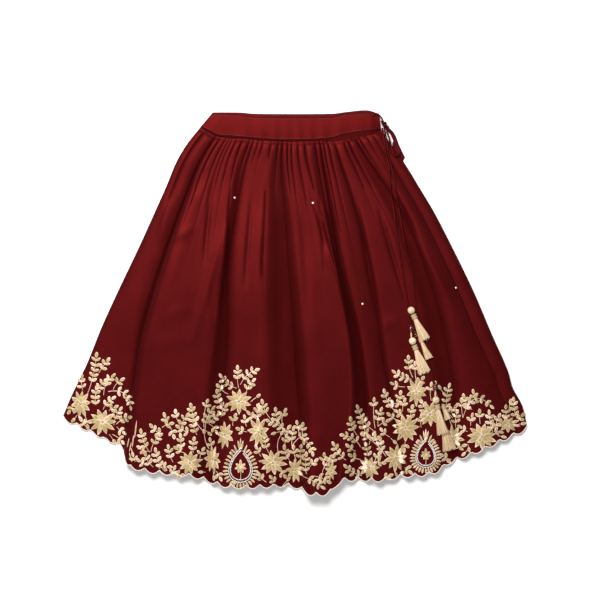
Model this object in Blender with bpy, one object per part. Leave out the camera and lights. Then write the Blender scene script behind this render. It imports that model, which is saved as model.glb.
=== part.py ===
# A girl's lehenga skirt in red silk, laid flat on its back panel: a plain waistband, a front panel
# that stands up in soft flutes over a flat back panel, a scalloped hem, and a tied drawstring with
# two clusters of thread tassels. Blender's units are metres; sizes in this file are millimetres.
# X runs across the skirt, Y up towards the waist, and the back panel lies on Z = 0.

import math
from collections import namedtuple

import bmesh
import bpy
import numpy as np
from mathutils import Vector

for old in list(bpy.data.objects):
    bpy.data.objects.remove(old, do_unlink=True)

MM = 0.001
SEAM_GAP = 0.3           # between pieces that are sewn together or lie on each other
FRONT_WALL = 2.0         # height of the front panel's wall, about 1.2 square to its steep folds
BACK_WALL = 1.5
BAND_WALL = 2.2          # the waistband is two layers and their turnings
BACK_INSET = 2.5         # the back panel's sides lie just inside the front's

# How far the sides have spread, from the waist (0) to the hem (1) along each side.
Side = namedtuple("Side", "down left right")
SIDES = (
    Side(0.00, -158.8, 144.5),
    Side(0.06, -181.8, 165.3),
    Side(0.12, -199.0, 186.0),
    Side(0.20, -215.1, 210.2),
    Side(0.27, -230.1, 231.1),
    Side(0.41, -260.7, 267.1),
    Side(0.55, -292.9, 300.7),
    Side(0.69, -324.0, 330.2),
    Side(0.82, -349.3, 358.4),
    Side(0.87, -360.8, 365.2),
    Side(0.93, -375.1, 381.2),
    Side(1.00, -389.3, 389.3),
)

# The waistband from left (0) to right (1): the back's top edge, the front's lower top edge, and the
# seam to which the skirt is gathered.
Band = namedtuple("Band", "across back_top front_top seam")
BAND = (
    Band(0.00, 318.4, 315.8, 294.0),
    Band(0.04, 318.6, 315.5, 288.5),
    Band(0.09, 318.6, 315.1, 280.2),
    Band(0.16, 318.4, 314.0, 277.8),
    Band(0.24, 316.5, 310.8, 275.9),
    Band(0.48, 315.8, 309.6, 271.4),
    Band(0.72, 316.4, 310.6, 274.5),
    Band(0.80, 319.2, 314.6, 281.5),
    Band(0.92, 322.2, 316.7, 286.8),
    Band(1.00, 316.4, 312.5, 289.8),
)
BAND_TOP_LEFT = -138.0
BAND_TOP_RIGHT = 138.0

# The front's hem line from left to right. It steps down where a fold lies over its neighbour.
Hem = namedtuple("Hem", "across y")
HEM = (
    Hem(0.000, -191.0), Hem(0.061, -213.0), Hem(0.096, -227.0), Hem(0.127, -239.0),
    Hem(0.143, -266.0), Hem(0.172, -275.0), Hem(0.207, -280.5), Hem(0.277, -286.0),
    Hem(0.327, -298.5), Hem(0.351, -303.0), Hem(0.387, -305.0), Hem(0.484, -302.5),
    Hem(0.512, -308.5), Hem(0.542, -316.8), Hem(0.574, -313.0), Hem(0.590, -300.0),
    Hem(0.607, -292.5), Hem(0.673, -293.5), Hem(0.726, -287.5), Hem(0.804, -279.0),
    Hem(0.827, -267.0), Hem(0.889, -247.0), Hem(0.950, -225.5), Hem(1.000, -208.0),
)
BACK_HEM = (
    Hem(0.0, -188.0), Hem(0.1, -223.0), Hem(0.2, -260.0), Hem(0.3, -279.0), Hem(0.4, -287.0),
    Hem(0.5, -289.0), Hem(0.6, -287.5), Hem(0.7, -283.0), Hem(0.8, -267.0), Hem(0.9, -238.0),
    Hem(1.0, -203.0),
)
SCALLOPS = 33            # along each hem
SCALLOP_DEPTH = 6.0
SCALLOPS_FROM = 0.982    # the scallops are cut in the last of the cloth

# The front's flutes from left to right. Each runs from its left valley to the next row's. The
# valley's place across (0 to 1) is given at the seam, at a third, at two thirds and at the hem; the
# rise of the cloth above its valleys near the waist, at the middle and at the hem; the crest's
# share of the width; how far the crest leans over (minus is left); and its gathers at the seam.
Flute = namedtuple("Flute", "name seam upper lower hem rise_top rise_mid rise_hem crest lean gathers")
FLUTES = (
    Flute("left_side", 0.000, 0.000, 0.000, 0.000, 5, 10, 9, 0.45, 0, 2),
    Flute("left_fold", 0.072, 0.088, 0.098, 0.133, 8, 17, 16, 0.20, -5, 6),
    Flute("left_crease", 0.237, 0.218, 0.235, 0.262, 6, 9, 7, 0.45, 0, 2),
    Flute("broad_flute", 0.297, 0.268, 0.272, 0.300, 7, 17, 19, 0.62, 0, 3),
    Flute("sunk_middle", 0.393, 0.382, 0.404, 0.430, 3, 3, 5, 0.50, 0, 2),
    Flute("front_flute", 0.456, 0.466, 0.492, 0.500, 8, 20, 26, 0.55, 4, 4),
    Flute("narrow_fold", 0.575, 0.600, 0.622, 0.590, 6, 9, 4, 0.50, 0, 2),
    Flute("second_flute", 0.658, 0.647, 0.645, 0.644, 7, 13, 14, 0.40, -4, 3),
    Flute("third_flute", 0.732, 0.728, 0.716, 0.730, 7, 13, 10, 0.50, 0, 2),
    Flute("sunk_right", 0.803, 0.800, 0.815, 0.800, 4, 4, 4, 0.50, 0, 1),
    Flute("right_panel", 0.845, 0.832, 0.858, 0.827, 7, 12, 10, 0.62, 0, 3),
    Flute("right_edge", 0.940, 0.948, 0.965, 0.975, 4, 3, 3, 0.45, 0, 1),
)
VALLEY_LEVELS = (0.03, 0.30, 0.65, 1.0)
RISE_LEVELS = (0.0, 0.15, 0.50, 1.0)
GATHER_RISE = 5.5        # height of a gather just below the seam
GATHER_SEWN = 3.5        # and pressed under the stitches
BACK_GATHERS = 33
BACK_GATHER_RISE = 3.0
BACK_GATHER_REACH = 0.16

FRONT_COLUMNS = 4 * SCALLOPS
FRONT_LEVELS = (0, 0.015, 0.04, 0.075, 0.12, 0.175, 0.25, 0.34, 0.45, 0.58, 0.72, 0.86, SCALLOPS_FROM,
                1)
BACK_COLUMNS = 3 * SCALLOPS
BACK_LEVELS = (0, 0.04, 0.10, 0.20, 0.50, SCALLOPS_FROM, 1)
BAND_COLUMNS = FRONT_COLUMNS // 3
BAND_LEVELS = (0, 0.5, 1)


def smooth(places, values, at):
    """Monotone cubic curve through a table's values, with no overshoot between its rows."""
    places = np.asarray(places, float)
    values = np.asarray(values, float)
    at = np.clip(np.asarray(at, float), places[0], places[-1])
    step = np.diff(places)
    slope = np.diff(values) / step
    tangent = np.concatenate(([slope[0]], (slope[:-1] + slope[1:]) / 2, [slope[-1]]))
    turns = slope[:-1] * slope[1:] <= 0
    tangent[1:-1][turns] = 0
    limit = 3 * np.minimum(np.abs(np.append(slope, slope[-1])), np.abs(np.append(slope[0], slope)))
    tangent = np.clip(tangent, -limit, limit)
    i = np.clip(np.searchsorted(places, at, side="right") - 1, 0, len(step) - 1)
    u = (at - places[i]) / step[i]
    return (values[i] * (1 + 2 * u) * (1 - u) ** 2 + values[i + 1] * u * u * (3 - 2 * u)
            + step[i] * u * (1 - u) * (tangent[i] * (1 - u) - tangent[i + 1] * u))


def column(table, name):
    return [getattr(row, name) for row in table]


def side_left(down):
    return smooth(column(SIDES, "down"), column(SIDES, "left"), down)


def side_right(down):
    return smooth(column(SIDES, "down"), column(SIDES, "right"), down)


def seam_line(across):
    return smooth(column(BAND, "across"), column(BAND, "seam"), across)


def hem_line(table, across, down):
    """The hem at a place across, with its scallops growing in over the last of the cloth."""
    line = smooth(column(table, "across"), column(table, "y"), across)
    lobe = np.abs(np.sin(math.pi * SCALLOPS * across)) ** 0.7
    return line - SCALLOP_DEPTH * lobe * np.clip((down - SCALLOPS_FROM) / (1 - SCALLOPS_FROM), 0, 1)


def plan(table, across, down, inset=0.0):
    """Where a place on the cloth lies on the floor plan."""
    left = side_left(down) + inset
    right = side_right(down) - inset
    x = left + (right - left) * across
    top = seam_line(across) - SEAM_GAP
    y = top + (hem_line(table, across, down) - top) * down
    return x, y


def away_from_sides(across):
    edge = np.clip(np.minimum(across, 1 - across) / 0.06, 0, 1)
    return edge * edge * (3 - 2 * edge)


def back_ripple_reach(across, down):
    fade = np.clip(1 - down / BACK_GATHER_REACH, 0, 1)
    return BACK_GATHER_RISE * fade * fade * (3 - 2 * fade) * away_from_sides(across)


def fold_shape(across, down):
    """Rise of the front above its resting height, and how far its crest leans across."""
    valleys = [smooth(VALLEY_LEVELS, (flute.seam, flute.upper, flute.lower, flute.hem), down)
               for flute in FLUTES]
    valleys.append(np.ones_like(down))
    rise = np.zeros_like(across)
    lean = np.zeros_like(across)
    counted = 0
    for i, flute in enumerate(FLUTES):
        inside = (across >= valleys[i]) & (across <= valleys[i + 1])
        s = np.clip((across - valleys[i]) / (valleys[i + 1] - valleys[i]), 0, 1)
        bent = np.where(s < flute.crest, 0.5 * s / flute.crest,
                        0.5 + 0.5 * (s - flute.crest) / (1 - flute.crest))
        crown = np.sin(math.pi * np.clip(bent, 0, 1)) ** 0.75
        height = smooth(RISE_LEVELS, (0, flute.rise_top, flute.rise_mid, flute.rise_hem), down)
        gather = counted + np.minimum(np.floor(s * flute.gathers), flute.gathers - 1)
        strength = 0.82 + 0.18 * np.sin(7.3 * gather)
        reach = 0.17 + 0.09 * np.sin(12.9 * gather + 1.0)
        pleat = np.abs(np.sin(math.pi * flute.gathers * s)) ** 0.9
        sewn = GATHER_SEWN + (GATHER_RISE - GATHER_SEWN) * (1 - np.exp(-down / 0.02))
        gathered = sewn * strength * pleat * np.exp(-(down / reach) ** 1.5)
        rise = np.where(inside, height * crown + gathered, rise)
        lean = np.where(inside, flute.lean * crown ** 2 * np.clip(down / 0.5, 0, 1), lean)
        counted += flute.gathers
    return rise, lean


def front_inner(across, down):
    """The front panel's inner face: resting on the back at its sides, sprung up in its folds."""
    x, y = plan(HEM, across, down)
    rise, lean = fold_shape(across, down)
    z = BACK_WALL + SEAM_GAP + back_ripple_reach(across, down) + rise
    return x + lean, y, z


def back_inner(across, down):
    x, y = plan(BACK_HEM, across, down, BACK_INSET * away_from_waist(down))
    ripple = np.abs(np.sin(math.pi * BACK_GATHERS * across)) * back_ripple_reach(across, down)
    return x, y, ripple


def away_from_waist(down):
    return np.clip(down / 0.10, 0, 1)


def band_plan(top, across, down):
    top_y = smooth(column(BAND, "across"), column(BAND, top), across)
    y = top_y + (seam_line(across) - top_y) * down
    left = BAND_TOP_LEFT + (SIDES[0].left - BAND_TOP_LEFT) * down
    right = BAND_TOP_RIGHT + (SIDES[0].right - BAND_TOP_RIGHT) * down
    return left + (right - left) * across, y


def band_front_inner(across, down):
    x, y = band_plan("front_top", across, down)
    return x, y, BAND_WALL + SEAM_GAP + 2.8 * away_from_sides(across) * (0.25 + 0.75 * down)


def band_back_inner(across, down):
    x, y = band_plan("back_top", across, down)
    return x, y, np.zeros_like(x)


def silk(name, colour, roughness):
    material = bpy.data.materials.new(name)
    material.use_nodes = True
    shader = material.node_tree.nodes["Principled BSDF"]
    shader.inputs["Base Color"].default_value = (*colour, 1)
    shader.inputs["Roughness"].default_value = roughness
    return material


def finish(name, bm, material, smooth_faces=True):
    """Turn a bmesh in millimetres into a named object with its own material."""
    bmesh.ops.scale(bm, vec=(MM, MM, MM), verts=bm.verts)
    bmesh.ops.recalc_face_normals(bm, faces=bm.faces)
    mesh = bpy.data.meshes.new(name)
    bm.to_mesh(mesh)
    bm.free()
    if smooth_faces:
        mesh.shade_smooth()
        mesh.set_sharp_from_angle(angle=math.radians(50))
    mesh.materials.append(material)
    piece = bpy.data.objects.new(name, mesh)
    bpy.context.scene.collection.objects.link(piece)
    return piece


def cloth_wall(name, surface, columns, levels, wall, material):
    """A panel as a wall: its inner face on a grid, the same face raised, and the edges between."""
    across, down = np.meshgrid(np.linspace(0, 1, columns + 1), np.array(levels, float))
    x, y, z = surface(across, down)
    bm = bmesh.new()
    for lift in (0.0, wall):
        points = [[bm.verts.new((x[j, i], y[j, i], z[j, i] + lift)) for i in range(columns + 1)]
                  for j in range(len(levels))]
        for j in range(len(levels) - 1):
            for i in range(columns):
                bm.faces.new((points[j][i], points[j][i + 1], points[j + 1][i + 1], points[j + 1][i]))
    rim = [edge for edge in bm.edges if len(edge.link_faces) == 1]
    bmesh.ops.bridge_loops(bm, edges=rim)
    return finish(name, bm, material)


def place_on_front(x, y):
    """Which place across and down the front lies at a point of the floor plan."""
    x = np.asarray(x, float)
    y = np.asarray(y, float)
    across = np.full(x.shape, 0.5)
    down = np.full(x.shape, 0.5)
    for _ in range(25):
        top = seam_line(across)
        down = (y - top) / (smooth(column(HEM, "across"), column(HEM, "y"), across) - top)
        left = side_left(down)
        across = (x - left) / (side_right(down) - left)
        across = np.clip(across, -0.05, 1.05)
        down = np.clip(down, -0.05, 1.05)
    return across, down


def front_top(x, y):
    """Height of the front panel's built outer face over the plan: the floor where there is none."""
    across, down = place_on_front(x, y)
    on = (across > -0.004) & (across < 1.004) & (down > -0.004) & (down < 1.01)
    column_at = np.clip(across, 0, 1) * FRONT_COLUMNS
    level_at = np.interp(np.clip(down, 0, 1), FRONT_LEVELS, range(len(FRONT_LEVELS)))
    i = np.clip(column_at.astype(int), 0, FRONT_COLUMNS - 1)
    j = np.clip(level_at.astype(int), 0, len(FRONT_LEVELS) - 2)
    u = column_at - i
    v = level_at - j
    z = ((1 - v) * ((1 - u) * front_heights[j, i] + u * front_heights[j, i + 1])
         + v * ((1 - u) * front_heights[j + 1, i] + u * front_heights[j + 1, i + 1]))
    return np.where(on, z + FRONT_WALL, 0)


def cloth_top(x, y, around):
    """Highest point of the front within a short way of each place on the plan."""
    highest = front_top(x, y)
    for turn in range(8):
        angle = math.tau * turn / 8
        highest = np.maximum(highest, front_top(x + around * math.cos(angle),
                                                y + around * math.sin(angle)))
    return highest


front_heights = front_inner(*np.meshgrid(np.linspace(0, 1, FRONT_COLUMNS + 1), FRONT_LEVELS))[2]

RED = (0.145, 0.009, 0.010)
cloth_wall("skirt_back", back_inner, BACK_COLUMNS, BACK_LEVELS, BACK_WALL,
           silk("skirt_back_silk", RED, 0.5))
cloth_wall("skirt_front", front_inner, FRONT_COLUMNS, FRONT_LEVELS, FRONT_WALL,
           silk("skirt_front_silk", RED, 0.5))
cloth_wall("waistband_back", band_back_inner, BAND_COLUMNS, BAND_LEVELS, BAND_WALL,
           silk("waistband_back_silk", (0.11, 0.008, 0.009), 0.5))
cloth_wall("waistband_front", band_front_inner, BAND_COLUMNS, BAND_LEVELS, BAND_WALL,
           silk("waistband_front_silk", (0.2, 0.011, 0.011), 0.5))

# The turned edge of the side slit hangs from the band's right end and stands clear of the front.
Placket = namedtuple("Placket", "y inner outer")
PLACKET = (
    Placket(304.6, 143.6, 147.5), Placket(294.0, 149.5, 156.6), Placket(283.9, 160.4, 166.3),
    Placket(272.2, 167.3, 171.9), Placket(260.4, 171.6, 176.2), Placket(250.3, 176.6, 181.0),
    Placket(242.6, 180.6, 184.6), Placket(240.4, 180.9, 182.6),
)
PLACKET_WALL = 2.0
PLACKET_COLUMNS = 12


def placket_inner(across, down):
    y = smooth(range(len(PLACKET)), column(PLACKET, "y"), down * (len(PLACKET) - 1))
    ys = column(PLACKET, "y")[::-1]
    inner = smooth(ys, column(PLACKET, "inner")[::-1], y)
    outer = smooth(ys, column(PLACKET, "outer")[::-1], y)
    return inner + (outer - inner) * across, y, np.zeros_like(y)


cloth_wall("side_placket", placket_inner, 1, np.linspace(0, 1, PLACKET_COLUMNS + 1), PLACKET_WALL,
           silk("placket_silk", (0.06, 0.006, 0.009), 0.55))

# The drawstring is a cord. Each route is a list of places on the plan, and the cord lies over
# whatever of the skirt is under it.
CORD = 3.0
CORD_STEP = 7.5          # between the tube's points, two and a half diameters
KNOT = Vector((149.4, 298.4, 5.8))
KNOT_SIZE = Vector((4.4, 4.6, 3.3))
BEAD_RADIUS = 4.8
BEAD_HALF_LENGTH = 5.4
UPPER_BEAD = (193.8, -44.8)
LOWER_BEAD = (234.6, -142.6)

CORD_ONE = (
    (146.4, 292.4), (147.6, 284), (150.4, 264), (154, 242), (157, 228), (159, 205), (161, 181),
    (166, 150), (169, 123), (173, 95), (176, 74), (180, 52), (183, 30), (187, 7), (190.5, -12),
    (192.5, -28), (193.6, -39.0),
)
CORD_TWO = (
    (149.7, 292.0), (151.4, 283), (154.0, 264), (157.6, 242), (161, 228), (165, 210), (168, 191),
    (175, 150), (180, 119), (185, 89), (191, 69), (196, 48), (199, 22), (202, -3), (208, -30),
    (217, -72), (227, -111), (233.6, -136.8),
)
LOOP = (
    (153.1, 293.0), (155.2, 284), (158.8, 272), (161.8, 260), (163.4, 252), (166.2, 246.4),
    (170.4, 244.6), (173.6, 247.8), (173.6, 253.5), (170.2, 262.5), (165.4, 273), (160.4, 284),
    (155.4, 295.8),
)

# What a later piece may lie on besides the skirt is a row of round spots on the plan, each domed
# like the top of a ball pressed flat: its middle, radius, height and half thickness.
Spot = namedtuple("Spot", "x y radius z thick")
placket_spots = []
for row in PLACKET:
    half = (row.outer - row.inner) / 2
    placket_spots.append(Spot(row.inner + half, row.y, half + CORD, 0.0, PLACKET_WALL))
laid = []


def top_of_all(x, y, around, spots):
    """Highest of the skirt and the spots at each of some places on the plan."""
    x = np.asarray(x, float)
    y = np.asarray(y, float)
    highest = cloth_top(x, y, around)
    for spot in spots:
        share = np.hypot(spot.x - x, spot.y - y) / spot.radius
        dome = spot.z + spot.thick * np.sqrt(np.clip(1 - share ** 2, 0, 1))
        highest = np.where(share < 1, np.maximum(highest, dome), highest)
    return highest


def route_curve(route, step):
    """Points a set distance apart along a smooth curve through the route's own points."""
    points = np.array(route, float)
    along = np.concatenate(([0], np.cumsum(np.hypot(*np.diff(points, axis=0).T))))
    fine = np.linspace(0, along[-1], 600)
    before = np.vstack((2 * points[0] - points[1], points, 2 * points[-1] - points[-2]))
    i = np.clip(np.searchsorted(along, fine, side="right") - 1, 0, len(points) - 2)
    u = ((fine - along[i]) / (along[i + 1] - along[i]))[:, None]
    a, b, c, d = before[i], before[i + 1], before[i + 2], before[i + 3]
    curve = 0.5 * (2 * b + (c - a) * u + (2 * a - 5 * b + 4 * c - d) * u ** 2
                   + (3 * b - 3 * c + d - a) * u ** 3)
    true_along = np.concatenate(([0], np.cumsum(np.hypot(*np.diff(curve, axis=0).T))))
    count = max(2, round(true_along[-1] / step))
    at = np.linspace(0, true_along[-1], count + 1)
    return np.interp(at, true_along, curve[:, 0]), np.interp(at, true_along, curve[:, 1])


def lying_height(x, y, ends):
    """Height of a cord's middle as it bridges the folds, led down or up to its two ends."""
    rest = top_of_all(x, y, CORD, placket_spots) + CORD / 2 + SEAM_GAP
    width = 2
    padded = np.pad(rest, width, mode="edge")
    bridged = np.array([padded[i:i + 2 * width + 1].max() for i in range(len(rest))])
    padded = np.pad(bridged, width, mode="edge")
    eased = np.array([padded[i:i + 2 * width + 1].mean() for i in range(len(rest))])
    eased[0], eased[-1] = ends
    return eased


def cord_tube(name, route, step, ends):
    x, y = route_curve(route, step)
    z = lying_height(x, y, ends)
    curve = bpy.data.curves.new(name, "CURVE")
    curve.dimensions = "3D"
    curve.bevel_depth = CORD / 2 * MM
    curve.bevel_resolution = 2
    curve.use_fill_caps = True
    spline = curve.splines.new("POLY")
    spline.points.add(len(x) - 1)
    for point, place in zip(spline.points, zip(x, y, z)):
        point.co = (place[0] * MM, place[1] * MM, place[2] * MM, 1)
    curve.materials.append(silk(name + "_silk", RED, 0.45))
    tube = bpy.data.objects.new(name, curve)
    bpy.context.scene.collection.objects.link(tube)
    for share in np.linspace(0, len(x) - 1, 8 * len(x)):
        place = [np.interp(share, range(len(x)), values) for values in (x, y, z)]
        laid.append(Spot(place[0], place[1], CORD / 2, place[2], CORD / 2))


def bead(name, middle, size, colour):
    bm = bmesh.new()
    bmesh.ops.create_uvsphere(bm, u_segments=12, v_segments=8, radius=1)
    bmesh.ops.scale(bm, vec=size, verts=bm.verts)
    bmesh.ops.translate(bm, vec=middle, verts=bm.verts)
    return finish(name, bm, silk(name + "_finish", colour, 0.2))


def resting_need(spot, aside, wide, thick):
    """How high a flattened round section's middle must be to clear all that lies under it."""
    share = np.linspace(-1, 1, 9)
    tops = top_of_all(spot.x + aside.x * wide * share, spot.y + aside.y * wide * share, 0.6, laid)
    return float(np.max(tops + thick * np.sqrt(1 - share ** 2))) + SEAM_GAP


def resting_bead(name, place):
    """A glass bead that lies on the cloth, threaded on its cord's end."""
    middle = Vector((*place, 0))
    middle.z = max(resting_need(middle + Vector((0, dy, 0)), Vector((1, 0, 0)), radius, radius)
                   for dy, radius in ((-3, 4.0), (0, BEAD_RADIUS), (3, 4.0)))
    bead(name, middle, (BEAD_RADIUS, BEAD_HALF_LENGTH, BEAD_RADIUS), (0.09, 0.008, 0.012))
    return middle


upper_bead = resting_bead("glass_bead_upper", UPPER_BEAD)
lower_bead = resting_bead("glass_bead_lower", LOWER_BEAD)
bead("drawstring_knot", KNOT, KNOT_SIZE, RED)
cord_tube("drawstring_loop", LOOP, 5.0, (KNOT.z, KNOT.z))
cord_tube("drawstring_cord_1", CORD_ONE, CORD_STEP, (KNOT.z, upper_bead.z))
cord_tube("drawstring_cord_2", CORD_TWO, CORD_STEP, (KNOT.z, lower_bead.z))

# Thread tassels. A long one has a wound ball and a collar; a short one only its collar. Each is
# given by its head and the middle of its cut end, the bead that its hanging loop goes to, and the
# spread of its cut end. They are laid down in this order, the lowest first.
Tassel = namedtuple("Tassel", "name head_x head_y end_x end_y ball hangs_from spread")
TASSELS = (
    Tassel("tassel_upper_2", 209.2, -60.6, 224.8, -95.0, False, None, 12),
    Tassel("tassel_upper_3", 196.6, -65.4, 217.6, -119.5, True, upper_bead, 22),
    Tassel("tassel_upper_1", 194.4, -14.2, 217.5, -63.6, True, None, 18),
    Tassel("tassel_lower_3", 245.5, -198.0, 259.5, -249.0, False, None, 24),
    Tassel("tassel_lower_2", 247.6, -172.0, 256.5, -197.0, False, None, 10),
    Tassel("tassel_lower_1", 235.6, -164.2, 248.0, -222.0, True, lower_bead, 20),
)
# Sections along a tassel from its head: distance, half width and half thickness.
Ring = namedtuple("Ring", "along wide thick")
BALL_RINGS = (Ring(-5.6, 2.2, 2.2), Ring(-2.6, 5.5, 5.5), Ring(1.6, 6.1, 6.1), Ring(4.8, 4.0, 4.0),
              Ring(6.2, 2.8, 2.8), Ring(7.4, 4.3, 3.6), Ring(12.4, 4.0, 3.3), Ring(15.5, 3.7, 3.0))
COLLAR_RINGS = (Ring(0.0, 2.0, 1.8), Ring(1.2, 3.2, 2.6), Ring(5.4, 3.3, 2.6), Ring(7.5, 3.2, 2.5))
LOOP_THREAD = 1.4        # half width of a tassel's hanging loop
LOOP_CLEAR = 0.8         # between the loop's square end and the bead's curve
STRANDS_WIDE = 6
STRANDS_THICK = 3
STRAND_FILL = 0.72       # share of its place that a strand fills at the cut end
END_THICK = 3.2          # half thickness of a tassel's cut end
THREAD = (0.62, 0.45, 0.27)


def disc(u, v):
    """A place on the unit disc for a place on the square from -1 to 1."""
    return u * math.sqrt(1 - v * v / 2), v * math.sqrt(1 - u * u / 2)


def square_rim():
    wide = [-1 + 2 * i / STRANDS_WIDE for i in range(STRANDS_WIDE + 1)]
    thick = [-1 + 2 * j / STRANDS_THICK for j in range(STRANDS_THICK + 1)]
    return ([(u, -1) for u in wide[:-1]] + [(1, v) for v in thick[:-1]]
            + [(u, 1) for u in wide[:0:-1]] + [(-1, v) for v in thick[:0:-1]])


def settle(stations, spot_at, aside):
    """Height and slope at which a straight tassel rests on what is under it, as low as it can."""
    along = np.array([place for place, _, _ in stations])
    needs = np.array([resting_need(spot_at(place), aside, wide, thick)
                      for place, wide, thick in stations])
    best = None
    for slope in np.linspace(-0.3, 0.3, 121):
        height = np.max(needs - slope * along)
        mean = height + slope * along.mean()
        if best is None or mean < best[0]:
            best = (mean, height, slope)
    return best[1], best[2]


def tassel(row):
    rings = BALL_RINGS if row.ball else COLLAR_RINGS
    root = rings[-1]
    head = Vector((row.head_x, row.head_y, 0))
    end = Vector((row.end_x, row.end_y, 0))
    length = (end - head).length
    along = (end - head) / length
    aside = Vector((-along.y, along.x, 0))
    sections = list(rings)
    for share in (0.33, 0.66, 1.0):
        sections.append(Ring(root.along + (length - root.along) * share,
                             root.wide + (row.spread / 2 - root.wide) * share,
                             root.thick + (END_THICK - root.thick) * share))
    columns = list(zip(*sections))
    places = np.arange(sections[0].along, length + 1.5, 1.5)
    stations = [(place, np.interp(place, columns[0], columns[1]),
                 np.interp(place, columns[0], columns[2])) for place in places]
    head_z, slope = settle(stations, lambda place: head + along * place, aside)

    def put(place, across, up):
        spot = head + along * place + aside * across
        return Vector((spot.x, spot.y, head_z + slope * place + up))

    for place, wide, thick in stations:
        middle = put(place, 0, 0)
        laid.append(Spot(middle.x, middle.y, wide, middle.z, thick))

    bm = bmesh.new()
    loops = [[bm.verts.new(put(ring.along, disc(u, v)[0] * ring.wide, disc(u, v)[1] * ring.thick))
              for u, v in square_rim()] for ring in rings]
    if row.hangs_from:
        # The hanging loop is a thin neck from the ball to the bead.
        top = put(rings[0].along, 0, 0)
        to_ball = (top - row.hangs_from).normalized()
        start = row.hangs_from + to_ball * (BEAD_HALF_LENGTH + LOOP_CLEAR)
        for middle in (top - to_ball * 0.8, start):
            loops.insert(0, [bm.verts.new(middle + aside * disc(u, v)[0] * LOOP_THREAD
                                          + Vector((0, 0, disc(u, v)[1] * LOOP_THREAD)))
                             for u, v in square_rim()])
    bm.faces.new(loops[0])
    for first, second in zip(loops, loops[1:]):
        for i in range(len(first)):
            k = (i + 1) % len(first)
            bm.faces.new((first[i], first[k], second[k], second[i]))
    # The last section is a grid of cells, one for each strand, and its rim is the last loop.
    cells = {}
    for (u, v), vert in zip(square_rim(), loops[-1]):
        cells[round(u, 4), round(v, 4)] = vert
    for i in range(STRANDS_WIDE + 1):
        for j in range(STRANDS_THICK + 1):
            u = -1 + 2 * i / STRANDS_WIDE
            v = -1 + 2 * j / STRANDS_THICK
            if (round(u, 4), round(v, 4)) not in cells:
                place = put(root.along, disc(u, v)[0] * root.wide, disc(u, v)[1] * root.thick)
                cells[round(u, 4), round(v, 4)] = bm.verts.new(place)
    roots = []
    for i in range(STRANDS_WIDE):
        for j in range(STRANDS_THICK):
            us = [round(-1 + 2 * (i + k) / STRANDS_WIDE, 4) for k in (0, 1, 1, 0)]
            vs = [round(-1 + 2 * (j + k) / STRANDS_THICK, 4) for k in (0, 0, 1, 1)]
            roots.append((i, j, bm.faces.new([cells[u, v] for u, v in zip(us, vs)])))
    bmesh.ops.inset_individual(bm, faces=[face for _, _, face in roots], thickness=0.12)
    # Each cell's threads are drawn out to the cut end, where the strands stand a little apart.
    for i, j, face in roots:
        drawn = bmesh.ops.extrude_discrete_faces(bm, faces=[face])["faces"][0]
        uneven = 1 - 0.05 * abs(math.sin(3.1 * i + 5.7 * j + row.head_x))
        far = root.along + (length - root.along) * uneven
        for vert, (du, dv) in zip(drawn.verts, ((-1, -1), (1, -1), (1, 1), (-1, 1))):
            u = -1 + (2 * i + 1 + STRAND_FILL * du) / STRANDS_WIDE
            v = -1 + (2 * j + 1 + STRAND_FILL * dv) / STRANDS_THICK
            across, up = disc(u, v)
            vert.co = put(far, across * row.spread / 2, up * END_THICK)
    finish(row.name, bm, silk(row.name + "_thread", THREAD, 0.6), smooth_faces=False)


for tassel_row in TASSELS:
    tassel(tassel_row)
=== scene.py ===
# A girl's lehenga skirt in deep red silk, laid flat and seen from straight above. The script follows
# the skirt as it is put together: the panels, the waistband, the slit, the hem edging, the gold
# embroidery, the drawstring, its glass beads and its thread tassels. Tables are in millimetres:
# X runs across the skirt, Y up towards the waist, and Z up from the floor.

import math
import random
from collections import namedtuple

import bmesh
import bpy
import numpy as np
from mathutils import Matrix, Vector
from mathutils.bvhtree import BVHTree


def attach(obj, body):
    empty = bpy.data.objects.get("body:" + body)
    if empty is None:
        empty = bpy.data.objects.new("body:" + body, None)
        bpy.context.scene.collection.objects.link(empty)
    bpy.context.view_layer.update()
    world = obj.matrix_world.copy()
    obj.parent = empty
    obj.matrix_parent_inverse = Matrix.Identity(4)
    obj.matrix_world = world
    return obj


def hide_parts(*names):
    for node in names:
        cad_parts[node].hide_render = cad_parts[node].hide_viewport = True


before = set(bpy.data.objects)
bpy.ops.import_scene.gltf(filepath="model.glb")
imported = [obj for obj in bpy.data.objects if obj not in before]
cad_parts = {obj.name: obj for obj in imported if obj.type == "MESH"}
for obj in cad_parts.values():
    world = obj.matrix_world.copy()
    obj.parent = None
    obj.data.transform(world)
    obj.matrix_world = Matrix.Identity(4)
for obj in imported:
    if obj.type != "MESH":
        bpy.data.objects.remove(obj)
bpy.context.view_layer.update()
bpy.ops.object.select_all(action="DESELECT")

# The studio: a pale floor, a soft light beyond the waist, a weaker and broader one beyond the hem, a
# faint fill from all round, and a camera straight above whose picture is about a metre across.
MM = 0.001
CAMERA_HEIGHT = 4.0
PICTURE_WIDTH = 1.008
PICTURE_MIDDLE = (0.0084, 0.0034)
SENSOR = 36
Lamp = namedtuple("Lamp", "place size energy")
LAMPS = (Lamp((-0.36, 1.0, 1.6), 0.95, 59), Lamp((-0.25, -1.3, 1.5), 1.6, 16))
LAMPS_AIM = (0, 0.05, 0)
FILL = 0.20


def linear(code):
    """An sRGB hex colour as linear light, fully opaque."""
    parts = [int(code[i:i + 2], 16) / 255 for i in (0, 2, 4)]
    return (*[part / 12.92 if part <= 0.04045 else ((part + 0.055) / 1.055) ** 2.4 for part in parts],
            1.0)


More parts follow.
